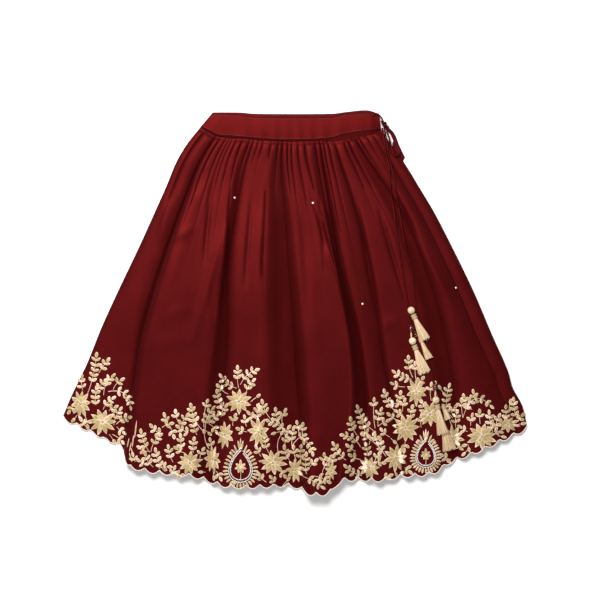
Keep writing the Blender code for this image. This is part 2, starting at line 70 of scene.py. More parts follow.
def add_node(tree, kind, inputs=None, **settings):
    """Add a node with its settings. Each input is a value, or the socket that feeds it."""
    node = tree.nodes.new("ShaderNode" + kind)
    for setting, value in settings.items():
        setattr(node, setting, value)
    for socket, value in (inputs or {}).items():
        if isinstance(value, bpy.types.NodeSocket):
            tree.links.new(value, node.inputs[socket])
        else:
            node.inputs[socket].default_value = value
    return node


def new_finish(name, **sockets):
    """A material, its tree and its shader, with the shader's own sockets set."""
    material = bpy.data.materials.new(name)
    material.use_nodes = True
    shader = material.node_tree.nodes["Principled BSDF"]
    for socket, value in sockets.items():
        shader.inputs[socket.replace("_", " ")].default_value = value
    return material, material.node_tree, shader


def painted_floor():
    """Matt white card, with the faint cloudiness of paint."""
    material, tree, shader = new_finish("matt_white_card", Roughness=0.9, Specular_IOR_Level=0.2)
    place = add_node(tree, "TexCoord")
    cloud = add_node(tree, "TexNoise", {"Vector": place.outputs["Object"], "Scale": 3.0})
    tone = add_node(tree, "Mix", {0: cloud.outputs[0], 6: linear("F4F3F2"), 7: linear("F7F6F5")},
                    data_type="RGBA")
    tree.links.new(tone.outputs[2], shader.inputs["Base Color"])
    return material


bpy.ops.mesh.primitive_plane_add(size=8)
floor = bpy.context.active_object
floor.name = "studio_floor"
floor.data.materials.append(painted_floor())

studio = bpy.data.worlds.new("studio_fill")
studio.use_nodes = True
studio.node_tree.nodes["Background"].inputs["Color"].default_value = linear("FFFDFA")
studio.node_tree.nodes["Background"].inputs["Strength"].default_value = FILL
bpy.context.scene.world = studio
bpy.context.scene.view_settings.view_transform = "Standard"

for lamp in LAMPS:
    bpy.ops.object.light_add(type="AREA", location=lamp.place)
    softbox = bpy.context.active_object
    softbox.data.shape = "SQUARE"
    softbox.data.size = lamp.size
    softbox.data.energy = lamp.energy
    to_skirt = Vector(LAMPS_AIM) - softbox.location
    softbox.rotation_euler = to_skirt.to_track_quat("-Z", "Y").to_euler()

bpy.ops.object.camera_add(location=(*PICTURE_MIDDLE, CAMERA_HEIGHT))
camera = bpy.context.active_object
camera.data.sensor_width = SENSOR
camera.data.lens = SENSOR * CAMERA_HEIGHT / PICTURE_WIDTH
bpy.context.scene.camera = camera
bpy.ops.object.select_all(action="DESELECT")

# The back panel is one width of silk that lies flat on the floor, gathered small into the band. It
# and the front share the side seams, so the outline's tables are here: how far the sides have
# spread from the waist (0) to the hem (1), the band, and the two hem lines from left to right.
Side = namedtuple("Side", "down left right")
SIDES = (
    Side(0.00, -158.8, 144.5), Side(0.06, -181.8, 165.3), Side(0.12, -199.0, 186.0),
    Side(0.20, -215.1, 210.2), Side(0.27, -230.1, 231.1), Side(0.41, -260.7, 267.1),
    Side(0.55, -292.9, 300.7), Side(0.69, -324.0, 330.2), Side(0.82, -349.3, 358.4),
    Side(0.87, -360.8, 365.2), Side(0.93, -375.1, 381.2), Side(1.00, -389.3, 389.3),
)
Band = namedtuple("Band", "across back_top front_top seam")
BAND = (
    Band(0.00, 318.4, 315.8, 294.0), Band(0.04, 318.6, 315.5, 288.5),
    Band(0.09, 318.6, 315.1, 280.2), Band(0.16, 318.4, 314.0, 277.8),
    Band(0.24, 316.5, 310.8, 275.9), Band(0.48, 315.8, 309.6, 271.4),
    Band(0.72, 316.4, 310.6, 274.5), Band(0.80, 319.2, 314.6, 281.5),
    Band(0.92, 322.2, 316.7, 286.8), Band(1.00, 316.4, 312.5, 289.8),
)
Hem = namedtuple("Hem", "across y")
HEM = (
    Hem(0.000, -191.0), Hem(0.061, -213.0), Hem(0.096, -227.0), Hem(0.127, -239.0),
    Hem(0.143, -266.0), Hem(0.172, -275.0), Hem(0.207, -280.5), Hem(0.277, -286.0),
    Hem(0.327, -298.5), Hem(0.351, -303.0), Hem(0.387, -305.0), Hem(0.484, -302.5),
    Hem(0.512, -308.5), Hem(0.542, -316.8), Hem(0.574, -313.0), Hem(0.590, -300.0),
    Hem(0.607, -292.5), Hem(0.673, -293.5), Hem(0.726, -287.5), Hem(0.804, -279.0),
    Hem(0.827, -267.0), Hem(0.889, -247.0), Hem(0.950, -225.5), Hem(1.000, -208.0),
)
BACK_HEM = (
    Hem(0.0, -188.0), Hem(0.1, -223.0), Hem(0.2, -260.0), Hem(0.3, -279.0), Hem(0.4, -287.0),
    Hem(0.5, -289.0), Hem(0.6, -287.5), Hem(0.7, -283.0), Hem(0.8, -267.0), Hem(0.9, -238.0),
    Hem(1.0, -203.0),
)
SCALLOPS = 33
SCALLOP_DEPTH = 7.5
SCALLOP_FORM = 0.9       # below 1 its scallops are fuller than a sine's
SCALLOPS_FROM = 0.982    # share of the length from which they are cut
SIDE_EDGE = 0.06         # share of the width over which folds die out at a side seam
SEAM_GAP = 0.3
BACK_INSET = 2.5
BACK_GATHERS = 33
BACK_GATHER_RISE = 3.0
BACK_GATHER_REACH = 0.16
BACK_FACE = 1.4          # height of the back panel's upper face,
BACK_CLOTH = 0.9         # and how thick the cloth is drawn
PANEL_CUT = (0.95, 0.59)  # metres of cloth that a panel's weave is spread over
TWO_THREADS = 6.3        # a wave whose scale is 1 over this many threads repeats every two threads
SMOOTH_UNDER = 50        # edges that turn by less than these degrees are shaded smooth


def smooth(places, values, at):
    """Monotone cubic curve through a table's values, with no overshoot between its rows."""
    places = np.asarray(places, float)
    values = np.asarray(values, float)
    at = np.clip(np.asarray(at, float), places[0], places[-1])
    step = np.diff(places)
    slope = np.diff(values) / step
    tangent = np.concatenate(([slope[0]], (slope[:-1] + slope[1:]) / 2, [slope[-1]]))
    turns = slope[:-1] * slope[1:] <= 0
    tangent[1:-1][turns] = 0
    limit = 3 * np.minimum(np.abs(np.append(slope, slope[-1])), np.abs(np.append(slope[0], slope)))
    tangent = np.clip(tangent, -limit, limit)
    i = np.clip(np.searchsorted(places, at, side="right") - 1, 0, len(step) - 1)
    u = (at - places[i]) / step[i]
    return (values[i] * (1 + 2 * u) * (1 - u) ** 2 + values[i + 1] * u * u * (3 - 2 * u)
            + step[i] * u * (1 - u) * (tangent[i] * (1 - u) - tangent[i + 1] * u))


def column(table, name):
    return [getattr(row, name) for row in table]


def seam_line(across):
    return smooth(column(BAND, "across"), column(BAND, "seam"), across)


def plan(table, across, down, inset=0.0):
    """Where a place on the cloth lies on the floor plan, with scallops cut in the last of it."""
    left = smooth(column(SIDES, "down"), column(SIDES, "left"), down) + inset
    right = smooth(column(SIDES, "down"), column(SIDES, "right"), down) - inset
    top = seam_line(across) - SEAM_GAP
    lobe = np.abs(np.sin(math.pi * SCALLOPS * across)) ** SCALLOP_FORM
    cut = SCALLOP_DEPTH * lobe * np.clip((down - SCALLOPS_FROM) / (1 - SCALLOPS_FROM), 0, 1)
    hem = smooth(column(table, "across"), column(table, "y"), across) - cut
    return left + (right - left) * across, top + (hem - top) * down


def away_from_sides(across):
    edge = np.clip(np.minimum(across, 1 - across) / SIDE_EDGE, 0, 1)
    return edge * edge * (3 - 2 * edge)


def back_ripple_reach(across, down):
    fade = np.clip(1 - down / BACK_GATHER_REACH, 0, 1)
    return BACK_GATHER_RISE * fade * fade * (3 - 2 * fade) * away_from_sides(across)


def back_face(across, down):
    x, y = plan(BACK_HEM, across, down, BACK_INSET * np.clip(down / 0.10, 0, 1))
    ripple = np.abs(np.sin(math.pi * BACK_GATHERS * across)) * back_ripple_reach(across, down)
    return x, y, BACK_FACE + ripple


def red_silk(name, deep, bright):
    """Dyed dupion silk with a satin face: red in its shine too, which lights up the sides of the
    folds that face the lamp and leaves the others deep, and broken by thick and thin weft threads."""
    slub_long, slub_thin, cloud_size = 0.014, 0.0009, 0.055
    thread = 0.0011       # drawn four times as coarse as the cloth's threads, so that it shows
    material, tree, shader = new_finish(name, Roughness=0.48, Metallic=0.45, Sheen_Weight=0.03,
                                        Sheen_Tint=linear("A83A34"), Specular_IOR_Level=0.2,
                                        Specular_Tint=linear("D04A44"))
    cloth = add_node(tree, "UVMap", uv_map="cloth").outputs["UV"]
    along_weft = add_node(tree, "Mapping", {"Vector": cloth,
                                            "Scale": (1 / slub_long, 1 / slub_thin, 1)})
    slubs = add_node(tree, "TexNoise", {"Vector": along_weft.outputs[0], "Scale": 1.0, "Detail": 3.0})
    clouds = add_node(tree, "TexNoise", {"Vector": cloth, "Scale": 1 / cloud_size, "Detail": 2.0})
    shade = add_node(tree, "Math", {0: slubs.outputs[0], 1: clouds.outputs[0]}, operation="ADD")
    spread = add_node(tree, "MapRange", {"Value": shade.outputs[0], "From Min": 0.7, "From Max": 1.3})
    dye = add_node(tree, "Mix", {0: spread.outputs[0], 6: linear(deep), 7: linear(bright)},
                   data_type="RGBA")
    tree.links.new(dye.outputs[2], shader.inputs["Base Color"])
    warp = add_node(tree, "TexWave", {"Vector": cloth, "Scale": 1 / (thread * TWO_THREADS)},
                    bands_direction="X")
    weft = add_node(tree, "TexWave", {"Vector": cloth, "Scale": 1 / (thread * TWO_THREADS)},
                    bands_direction="Y")
    weave = add_node(tree, "Math", {0: warp.outputs[1], 1: weft.outputs[1]}, operation="MULTIPLY")
    relief = add_node(tree, "Math", {0: slubs.outputs[0], 1: weave.outputs[0]}, operation="ADD")
    bump = add_node(tree, "Bump", {"Height": relief.outputs[0], "Strength": 0.25, "Distance": 0.0002})
    tree.links.new(bump.outputs[0], shader.inputs["Normal"])
    return material


def spaced(level):
    """Place down the cloth for a grid's level: the rows lie closer near the waist and the hem."""
    return np.interp(level, (0, 0.22, 0.84, 1), (0, 0.10, 0.955, 1))


def laid_cloth(name, face, grid, cut, thick, material, spacing=spaced):
    """A panel as a thin shell. A fine grid is moved onto its face and mapped in metres of cloth."""
    bpy.ops.mesh.primitive_grid_add(x_subdivisions=grid[0], y_subdivisions=grid[1], size=2)
    panel = bpy.context.active_object
    panel.name = panel.data.name = name
    corners = np.empty(len(panel.data.vertices) * 3)
    panel.data.vertices.foreach_get("co", corners)
    across, level = (corners.reshape(-1, 3)[:, :2].T + 1) / 2
    down = spacing(1 - level)
    places = np.column_stack(face(across, down))
    panel.data.vertices.foreach_set("co", (places * MM).ravel())
    used = np.empty(len(panel.data.loops), dtype=np.int32)
    panel.data.loops.foreach_get("vertex_index", used)
    cloth_map = panel.data.uv_layers.active
    cloth_map.name = "cloth"
    cloth_map.data.foreach_set("uv", np.column_stack((across * cut[0], down * cut[1]))[used].ravel())
    panel.data.materials.append(material)
    panel.data.update()
    outer = BVHTree.FromPolygons([Vector(place) for place in places],
                                 [tuple(quad.vertices) for quad in panel.data.polygons])
    wall = panel.modifiers.new("cloth_thickness", "SOLIDIFY")
    wall.thickness = thick * MM
    wall.offset = -1
    bpy.ops.object.modifier_apply(modifier=wall.name)
    bpy.ops.object.shade_smooth_by_angle(angle=math.radians(SMOOTH_UNDER))
    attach(panel, "root")
    return panel, outer


skirt_back, back_outer = laid_cloth("skirt_back_silk", back_face, (SCALLOPS * 7, 90), PANEL_CUT,
                                    BACK_CLOTH, red_silk("red_silk_back", "430B0C", "4D0E0F"))
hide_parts("skirt_back")

# The front panel is the same width of silk, drawn up into 31 gathers under the band. It stands up off
# the back in twelve soft flutes, with a few creases where it was folded away.
Flute = namedtuple("Flute", "name seam upper lower hem valley rise_top rise_mid rise_hem crest lean "
                            "form gathers")
FLUTES = (        # from the left valley to the next row's: the valley's place across at four levels,
                  # its height, the cloth's rise at three levels, the crest's share of the width, how
                  # far it leans (minus is left), its form (below 1 it has a flat top) and its gathers
    Flute("left_side", 0.000, 0.000, 0.000, 0.000, 0, 4, 6, 1, 0.55, 0, 0.40, 2),
    Flute("left_fold", 0.090, 0.075, 0.090, 0.130, 0, 8, 21, 14, 0.18, -4, 0.55, 6),
    Flute("left_crease", 0.237, 0.250, 0.269, 0.272, 17, 7, 17, 16, 0.03, 0, 6.00, 2),
    Flute("broad_flute", 0.297, 0.272, 0.311, 0.318, 0, 6, 18, 15, 0.45, 0, 0.34, 3),
    Flute("sunk_middle", 0.393, 0.382, 0.406, 0.425, 18, 7, 18, 16, 0.03, 0, 6.00, 2),
    Flute("front_flute", 0.456, 0.466, 0.494, 0.512, 0, 8, 20, 26, 0.32, 0, 0.70, 4),
    Flute("narrow_fold", 0.575, 0.615, 0.636, 0.590, 18, 7, 18, 19, 0.03, 0, 6.00, 2),
    Flute("second_flute", 0.658, 0.640, 0.668, 0.650, 0, 7, 14, 15, 0.30, -2, 0.65, 3),
    Flute("third_flute", 0.735, 0.738, 0.726, 0.730, 6, 7, 14, 12, 0.14, 0, 0.80, 2),
    Flute("sunk_right", 0.803, 0.840, 0.836, 0.800, 11, 5, 11, 11, 0.03, 0, 6.00, 1),
    Flute("right_panel", 0.845, 0.898, 0.888, 0.850, 0, 7, 12, 11, 0.40, 0, 0.60, 3),
    Flute("right_edge", 0.940, 0.958, 0.965, 0.975, 3, 4, 4, 3, 0.45, 0, 0.75, 1),
)
VALLEY_LEVELS = (0.03, 0.30, 0.65, 1.0)
RISE_LEVELS = (0.0, 0.15, 0.50, 1.0)
GATHERS = sum(flute.gathers for flute in FLUTES)
GATHER_RISE = 5.0
GATHER_VARIES = 0.3      # how much their heights differ from one to the next
GATHER_FORM = 0.32       # the lower, the rounder their tops and the narrower the valleys between
GATHER_REACH = 0.125     # how far down the cloth they reach, in shares of its length,
GATHER_STRAY = 0.08      # and how much that differs from one to the next
LEFT_PRESSED = 0.5       # how much flatter the gathers are pressed at the left,
LEFT_MIDDLE = 0.17       # round this share of the width,
LEFT_SPREAD = 0.11       # for about so much to each side
GATHER_SHIFT = 0.36      # how unevenly the gathers are drawn up, in shares of one of them
SEAM_RISE = 3.0          # the seam lies this much higher than the cloth at rest,
HEADS_SUNK = 1.0         # and the cloth is this much lower where the gathers start
HEADS = 0.005            # where the gathers' heads start, in shares of the length,
HEADS_LOW = 0.011        # and how much lower that is where they hang from the band's right part,
HEADS_MIDDLE = 98.0      # round here,
HEADS_HALF = 40.0        # for so far to each side
FRONT_FACE = 3.8         # height of the front's outer face where it rests on the back
FRONT_CLOTH = 1.2
SIDE_CURL = 1.0          # how far its sides turn down onto the back,
HEM_CURL = 0.8           # and how far its hem does
PUCKER = 0.35            # height of the puckers that the embroidery draws into the silk,
PUCKER_FROM = 0.72       # from this share of the length on
Crease = namedtuple("Crease", "x y end_x end_y width height")
CREASES = (       # soft ridges, or troughs where their height is minus
    Crease(-116, 132, -176, -82, 8, 2.2), Crease(-186, 232, -222, 160, 8, -2.0),
    Crease(-214, 190, -226, 96, 9, 2.0), Crease(-196, 120, -246, -50, 8, -1.4),
    Crease(-72, 180, -84, 20, 4, -1.8), Crease(-140, 200, -152, 60, 4, -2.2),
    Crease(-148, 20, -142, -70, 8, 1.4), Crease(12, 170, 22, -60, 9, -1.2),
    Crease(40, 200, 52, 40, 4, -2.2), Crease(101, 185, 136, -20, 3.5, -3.0),
    Crease(139, 160, 186, 0, 3.5, -3.0), Crease(160, 200, 204, 106, 3.5, -3.0),
    Crease(183, 140, 282, -38, 7, 2.0), Crease(-262, 20, -272, -90, 9, 1.1),
    Crease(284, 0, 322, -110, 12, -1.6), Crease(-296, -40, -330, -130, 12, -1.4),
    Crease(-250, -60, -290, -150, 10, 1.3), Crease(-20, 30, -30, -130, 9, -1.0),
    Crease(-227, -27, -163, -7, 9, 0.8), Crease(-246, -72, -170, -66, 10, 0.7),
    Crease(-212, 104, -166, 124, 7, 1.4), Crease(-282, 66, -242, 120, 8, 1.4),
    Crease(130, -50, 178, -26, 7, 1.2), Crease(268, 130, 296, 62, 7, -1.5),
    Crease(318, -120, 356, -80, 9, 1.3), Crease(-150, 226, -166, 178, 5, -1.6),
    Crease(24, 190, 80, 10, 3.5, -2.6), Crease(-108, 190, -112, 70, 3.5, -2.4),
)


def drawn_up(share):
    """Where a share of the gathers lies, counted in gathers, as some are drawn up wider."""
    between = np.cumsum([0] + [flute.gathers for flute in FLUTES])
    count = np.arange(GATHERS + 1)
    shift = np.where(np.isin(count, between), 0, GATHER_SHIFT * np.sin(5.1 * count))
    return np.interp(share * GATHERS, count, count + shift)


def fold_shape(share, down):
    """Place across for a share of the gathers, the flute's rise there and how far its crest leans.

    The shares run along the flutes, so that the lines of a grid follow every fold."""
    drawn = drawn_up(share)
    levels = [smooth(VALLEY_LEVELS, (flute.seam, flute.upper, flute.lower, flute.hem), down)
              for flute in FLUTES]
    levels.append(np.ones_like(down))
    across = np.zeros_like(share)
    rise = np.zeros_like(share)
    lean = np.zeros_like(share)
    valleys = column(FLUTES, "valley") + [0]
    counted = 0
    for i, flute in enumerate(FLUTES):
        s = (drawn - counted) / flute.gathers
        inside = (s >= 0) & (s <= 1)
        bent = np.where(s < flute.crest, 0.5 * s / flute.crest,
                        0.5 + 0.5 * (s - flute.crest) / (1 - flute.crest))
        crown = np.sin(math.pi * np.clip(bent, 0, 1)) ** flute.form
        height = smooth(RISE_LEVELS, (0, flute.rise_top, flute.rise_mid, flute.rise_hem), down)
        across = np.where(inside, levels[i] + (levels[i + 1] - levels[i]) * s, across)
        ground = (valleys[i] + (valleys[i + 1] - valleys[i]) * s) * np.clip(down / 0.35, 0, 1)
        rise = np.where(inside, ground + (height - ground) * crown, rise)
        lean = np.where(inside, flute.lean * crown ** 2 * np.clip(down / 0.5, 0, 1), lean)
        counted += flute.gathers
    return across, rise, lean


def gather_height(share, down):
    """Height of the gathers: narrow valleys between round tops, each with its own depth and length."""
    gather = np.minimum(np.floor(share * GATHERS), GATHERS - 1)
    pressed = 1 - LEFT_PRESSED * np.exp(-((share - LEFT_MIDDLE) / LEFT_SPREAD) ** 2)
    strength = (0.78 + GATHER_VARIES * np.sin(7.3 * gather)) * pressed
    reach = GATHER_REACH + GATHER_STRAY * np.sin(12.9 * gather + 1.0)
    pleat = np.abs(np.sin(math.pi * share * GATHERS)) ** GATHER_FORM
    return GATHER_RISE * strength * pleat * np.exp(-(down / reach) ** 1.5)


def crease_height(x, y):
    """Sum of the soft creases at places on the plan, each fading out towards its ends."""
    total = np.zeros_like(x)
    for crease in CREASES:
        run = np.array((crease.end_x - crease.x, crease.end_y - crease.y), float)
        length = np.hypot(*run)
        run /= length
        along = (x - crease.x) * run[0] + (y - crease.y) * run[1]
        aside = (x - crease.x) * -run[1] + (y - crease.y) * run[0]
        fade = np.sin(math.pi * np.clip(along / length, 0, 1)) ** 0.8
        total += crease.height * fade * np.exp(-(aside / crease.width) ** 2)
    return total


def front_face(share, down):
    across, rise, lean = fold_shape(share, down)
    x, y = plan(HEM, across, down)
    x = x + lean
    heads = HEADS + HEADS_LOW * np.exp(-((x - HEADS_MIDDLE) / HEADS_HALF) ** 4)
    below = np.clip(down - heads, 0, None)
    tucked = np.clip(1 - down / heads, 0, 1)
    inner = away_from_sides(across)
    curl = SIDE_CURL * (1 - inner) + HEM_CURL * np.clip((down - 0.97) / 0.03, 0, 1)
    pucker = PUCKER * np.sin(x / 5.2 + 2 * np.sin(y / 19)) * np.sin(y / 6.1 + 1.7 * np.sin(x / 23))
    pucker = pucker * np.clip((down - PUCKER_FROM) / 0.1, 0, 1)
    sunk = HEADS_SUNK * np.exp(-(below / 0.01) ** 2) * (1 - tucked)
    z = (FRONT_FACE + back_ripple_reach(across, down) + rise + SEAM_RISE * tucked * inner - sunk - curl
         + gather_height(share, down) * (1 - np.exp(-below / 0.007))
         + (crease_height(x, y) + pucker) * inner * np.clip(down / 0.1, 0, 1))
    return x, y, np.maximum(z, BACK_FACE + FRONT_CLOTH + 0.1)


skirt_front, front_outer = laid_cloth("skirt_front_silk", front_face, (GATHERS * 12, 120), PANEL_CUT,
                                      FRONT_CLOTH, red_silk("red_silk_front", "430B0C", "4D0E0F"))
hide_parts("skirt_front")

# The waistband is a straight strip of the same silk, folded double over the drawstring's casing and
# stitched along both edges. Its front edge dips, so a strip of the back's inside shows above it.
BAND_TOP_LEFT = -138.0
BAND_TOP_RIGHT = 141.5
BAND_WALL = 2.2
BAND_CUT = (0.30, 0.046)
BAND_CLOTH_BACK = 1.6
BAND_CLOTH_FRONT = 1.7
BAND_ROLL = 0.06         # share of the band's depth over which its folded edges round off,
BAND_ROLL_FRONT = 1.1    # and how far the front half's do,
BAND_ROLL_BACK = 0.9     # and the back half's
BAND_FILLED = 2.8        # how far the gathers' turnings inside lift the front half
BAND_WAVE = 0.28         # height of the small waves that its stitching draws
CASING_RISE = 0.5        # how far the cord inside lifts the middle of its depth
BAND_LENGTH = 299        # along the middle of the band,
STITCHED = 290           # and how much of it is stitched,
STITCHES_FROM = 0.015    # starting at this share from the left
STITCH_ROWS = (0.07, 0.93)
STITCH_LENGTH = 2.4
STITCH_PITCH = 3.2
STITCH_RADIUS = 0.26


def band_plan(top, across, down):
    top_y = smooth(column(BAND, "across"), column(BAND, top), across)
    y = top_y + (seam_line(across) - top_y) * down
    left = BAND_TOP_LEFT + (SIDES[0].left - BAND_TOP_LEFT) * down
    right = BAND_TOP_RIGHT + (SIDES[0].right - BAND_TOP_RIGHT) * down
    return left + (right - left) * across, y


def rolled(down):
    """How far a folded edge has rounded down, from 0 inside to 1 at the edge."""
    edge = np.clip(1 - np.minimum(down, 1 - down) / BAND_ROLL, 0, 1)
    return 1 - np.sqrt(1 - edge * edge)


def band_front_face(across, down):
    x, y = band_plan("front_top", across, down)
    filled = BAND_WALL + SEAM_GAP + BAND_FILLED * away_from_sides(across) * (0.25 + 0.75 * down)
    wave = np.sin(x / 4.1 + 3 * np.sin(x / 37)) * (0.25 + 0.75 * down ** 2)
    casing = CASING_RISE * np.sin(math.pi * np.clip(down, 0, 1))
    return x, y, filled + BAND_WALL + BAND_WAVE * wave + casing - BAND_ROLL_FRONT * rolled(down)


def band_back_face(across, down):
    x, y = band_plan("back_top", across, down)
    return x, y, BAND_WALL - 0.2 + 0.15 * np.sin(x / 5) - BAND_ROLL_BACK * rolled(down)


def tube(points, radius, sides, squash=1.0):
    """Corners and faces of a closed tube along some points. Its radius may vary along and round."""
    points = np.asarray(points, float)
    ahead = np.gradient(points, axis=0)
    ahead /= np.linalg.norm(ahead, axis=1)[:, None]
    aside = np.cross(ahead, (0, 0, 1))
    aside /= np.linalg.norm(aside, axis=1)[:, None]
    up = np.cross(aside, ahead) * squash
    turn = math.tau * np.arange(sides) / sides
    radius = np.broadcast_to(np.asarray(radius, float), (len(points), sides))[..., None]
    rings = points[:, None] + radius * (np.cos(turn)[:, None] * aside[:, None]
                                        + np.sin(turn)[:, None] * up[:, None])
    end = (len(points) - 1) * sides
    faces = [tuple(range(sides)), tuple(range(end + sides - 1, end - 1, -1))]
    for j in range(len(points) - 1):
        for i in range(sides):
            k = (i + 1) % sides
            faces.append((j * sides + i, (j + 1) * sides + i, (j + 1) * sides + k, j * sides + k))
    return rings.reshape(-1, 3), faces


def joined(name, shapes, material, tones=None):
    """Join many small shapes, given in millimetres, into one piece that rides on the skirt."""
    corners = np.vstack([shape[0] for shape in shapes])
    faces = []
    start = 0
    for places, own in shapes:
        faces.extend([tuple(corner + start for corner in face) for face in own])
        start += len(places)
    mesh = bpy.data.meshes.new(name)
    mesh.from_pydata(corners * MM, [], faces)
    if tones is not None:
        tone = mesh.attributes.new("thread_tone_and_painted_light", "FLOAT", "POINT")
        tone.data.foreach_set("value", np.concatenate(tones))
    mesh.shade_smooth()
    mesh.set_sharp_from_angle(angle=math.radians(60))
    mesh.materials.append(material)
    piece = bpy.data.objects.new(name, mesh)
    bpy.context.scene.collection.objects.link(piece)
    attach(piece, "root")
    return piece


def sewing_thread(name, colour, lit):
    """Mercerised sewing thread: a fine hard shine, with the twist of its plies, whose raised bands are
    painted in the lit colour as highlights.
    """
    ply = 0.0012
    material, tree, shader = new_finish(name, Roughness=0.5, Specular_IOR_Level=0.3)
    place = add_node(tree, "TexCoord").outputs["Object"]
    twist = add_node(tree, "TexWave", {"Vector": place, "Scale": 1 / (ply * TWO_THREADS)},
                     bands_direction="DIAGONAL")
    dye = add_node(tree, "Mix", {0: twist.outputs[1], 6: linear(colour), 7: linear(lit)},
                   data_type="RGBA")
    tree.links.new(dye.outputs[2], shader.inputs["Base Color"])
    bump = add_node(tree, "Bump", {"Height": twist.outputs[1], "Strength": 0.4, "Distance": 0.0001})
    tree.links.new(bump.outputs[0], shader.inputs["Normal"])
    return material


waistband_back, _ = laid_cloth("waistband_back_silk", band_back_face, (180, 24), BAND_CUT,
                               BAND_CLOTH_BACK, red_silk("red_silk_band_inside", "3A0B0B", "430E0E"),
                               np.asarray)
# The band's silk is given a slightly darker, deeper red than the panels' same silk, as painted shade
# that offsets the brighter light it gets nearer the lamp.
waistband_front, _ = laid_cloth("waistband_front_silk", band_front_face, (260, 40), BAND_CUT,
                                BAND_CLOTH_FRONT, red_silk("red_silk_band", "41090A", "480B0C"),
                                np.asarray)
stitches = []
for row_down in STITCH_ROWS:
    for stitch in range(int(STITCHED / STITCH_PITCH)):
        share = STITCHES_FROM + stitch * STITCH_PITCH / BAND_LENGTH
        reach = STITCH_LENGTH / 2 / BAND_LENGTH
        ends = np.array([share - reach, share, share + reach])
        x, y, z = band_front_face(ends, np.full(3, row_down))
        line = np.column_stack((x, y, z + np.array((-0.1, 0.12, -0.1))))
        stitches.append(tube(line, STITCH_RADIUS, 5))
band_stitching = joined("band_stitching", stitches,
                        sewing_thread("dark_red_sewing_thread", "440B0D", "5C1214"))
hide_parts("waistband_back")
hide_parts("waistband_front")

# The side placket is the slit's turned edge below the band's right end, a narrow folded strip of
# silk that stands clear of the front, with the drawstring hanging past it.
Placket = namedtuple("Placket", "y inner outer")
PLACKET = (
    Placket(304.6, 143.6, 148.0), Placket(294.0, 148.5, 157.0), Placket(283.9, 158.4, 166.3),
    Placket(272.2, 165.0, 171.9), Placket(264.5, 163.5, 174.6), Placket(257.0, 166.3, 178.0),
    Placket(250.3, 168.8, 181.0), Placket(242.6, 172.0, 184.6), Placket(238.0, 174.0, 182.2),
    Placket(231.5, 178.3, 180.6),
)
PLACKET_FACE = 1.9
PLACKET_FOLD = 0.6       # how far its two edges round down
PLACKET_CLOTH = 1.1
PLACKET_CUT = (0.02, 0.07)


def placket_face(across, down):
    y = smooth(range(len(PLACKET)), column(PLACKET, "y"), down * (len(PLACKET) - 1))
    ys = column(PLACKET, "y")[::-1]
    inner = smooth(ys, column(PLACKET, "inner")[::-1], y)
    outer = smooth(ys, column(PLACKET, "outer")[::-1], y)
    fold = np.sin(math.pi * across) ** 0.6
    z = PLACKET_FACE - PLACKET_FOLD + PLACKET_FOLD * fold + 0.1 * np.sin(y / 3)
    return inner + (outer - inner) * across, y, z


side_placket, _ = laid_cloth("side_placket_silk", placket_face, (10, 60), PLACKET_CUT, PLACKET_CLOTH,
                             red_silk("red_silk_placket", "3C0A10", "4A0E13"), np.asarray)
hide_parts("side_placket")

# The hems are bound by a cord of cream thread, overstitched closely along the cut scallops. Its
# stitches stand up as small ridges, and the back's cord is a little thinner.
EDGING_RADIUS = 0.7
BACK_EDGING_RADIUS = 0.6


def hem_edging(name, face, steps, radius, lift, material):
    """A thread-covered cord that follows a panel's hem from side to side."""
    share = np.linspace(0, 1, steps + 1)
    x, y, z = face(share, np.ones_like(share))
    ridge = radius * (1 + 0.07 * np.cos(math.pi * np.arange(steps + 1)))
    return joined(name, [tube(np.column_stack((x, y, z + lift)), ridge[:, None], 6)], material)


edging_thread = sewing_thread("cream_edging_thread", "E6CDBB", "FFF3E6")
front_edging = hem_edging("front_hem_edging", front_face, GATHERS * 12, EDGING_RADIUS,
                          -FRONT_CLOTH * 0.3, edging_thread)
back_edging = hem_edging("back_hem_edging", back_face, SCALLOPS * 7, BACK_EDGING_RADIUS,
                         -BACK_CLOTH / 2 + 0.05, edging_thread)

# The embroidery is gold and cream thread worked through both panels: padded satin-stitch leaves in
# pairs on couched stems, flowers of eight to eleven pointed petals round a stone, and drop shapes
# ringed with two rows of silver beads.
Flower = namedtuple("Flower", "x y width height petals")
FLOWERS = (
    Flower(-360, -171, 32, 45, 10), Flower(-323, -201, 43, 42, 10), Flower(-176, -269, 40, 37, 11),
    Flower(-138, -264, 25, 44, 10), Flower(-117, -222, 27, 45, 9), Flower(-94, -166, 41, 41, 10),
    Flower(-61, -217, 34, 47, 9), Flower(-37, -269, 44, 40, 10), Flower(1, -282, 29, 39, 9),
    Flower(60, -282, 19, 32, 8), Flower(124, -277, 34, 37, 10), Flower(169, -261, 37, 44, 10),
    Flower(185, -211, 43, 44, 11), Flower(203, -150, 34, 44, 10), Flower(226, -188, 38, 40, 9),
    Flower(265, -228, 34, 40, 10), Flower(313, -225, 47, 42, 11), Flower(357, -205, 38, 25, 9),
)
Drop = namedtuple("Drop", "x y width height")
DROPS = (Drop(-91, -273, 41, 58), Drop(219, -253, 35, 49))
Spike = namedtuple("Spike", "x y tip_x tip_y width")
SPIKES = (        # what shows of a drop that lies in the fold at the left
    Spike(-268, -226, -265, -201, 2.2), Spike(-272, -242, -270, -224, 2.0),
    Spike(-277, -250, -274, -236, 2.0), Spike(-281, -243, -278, -229, 1.8),
    Spike(-270, -256, -275, -243, 1.9), Spike(-273, -267, -277, -253, 2.0),
)
Sprig = namedtuple("Sprig", "x y tip_x tip_y bow pairs")
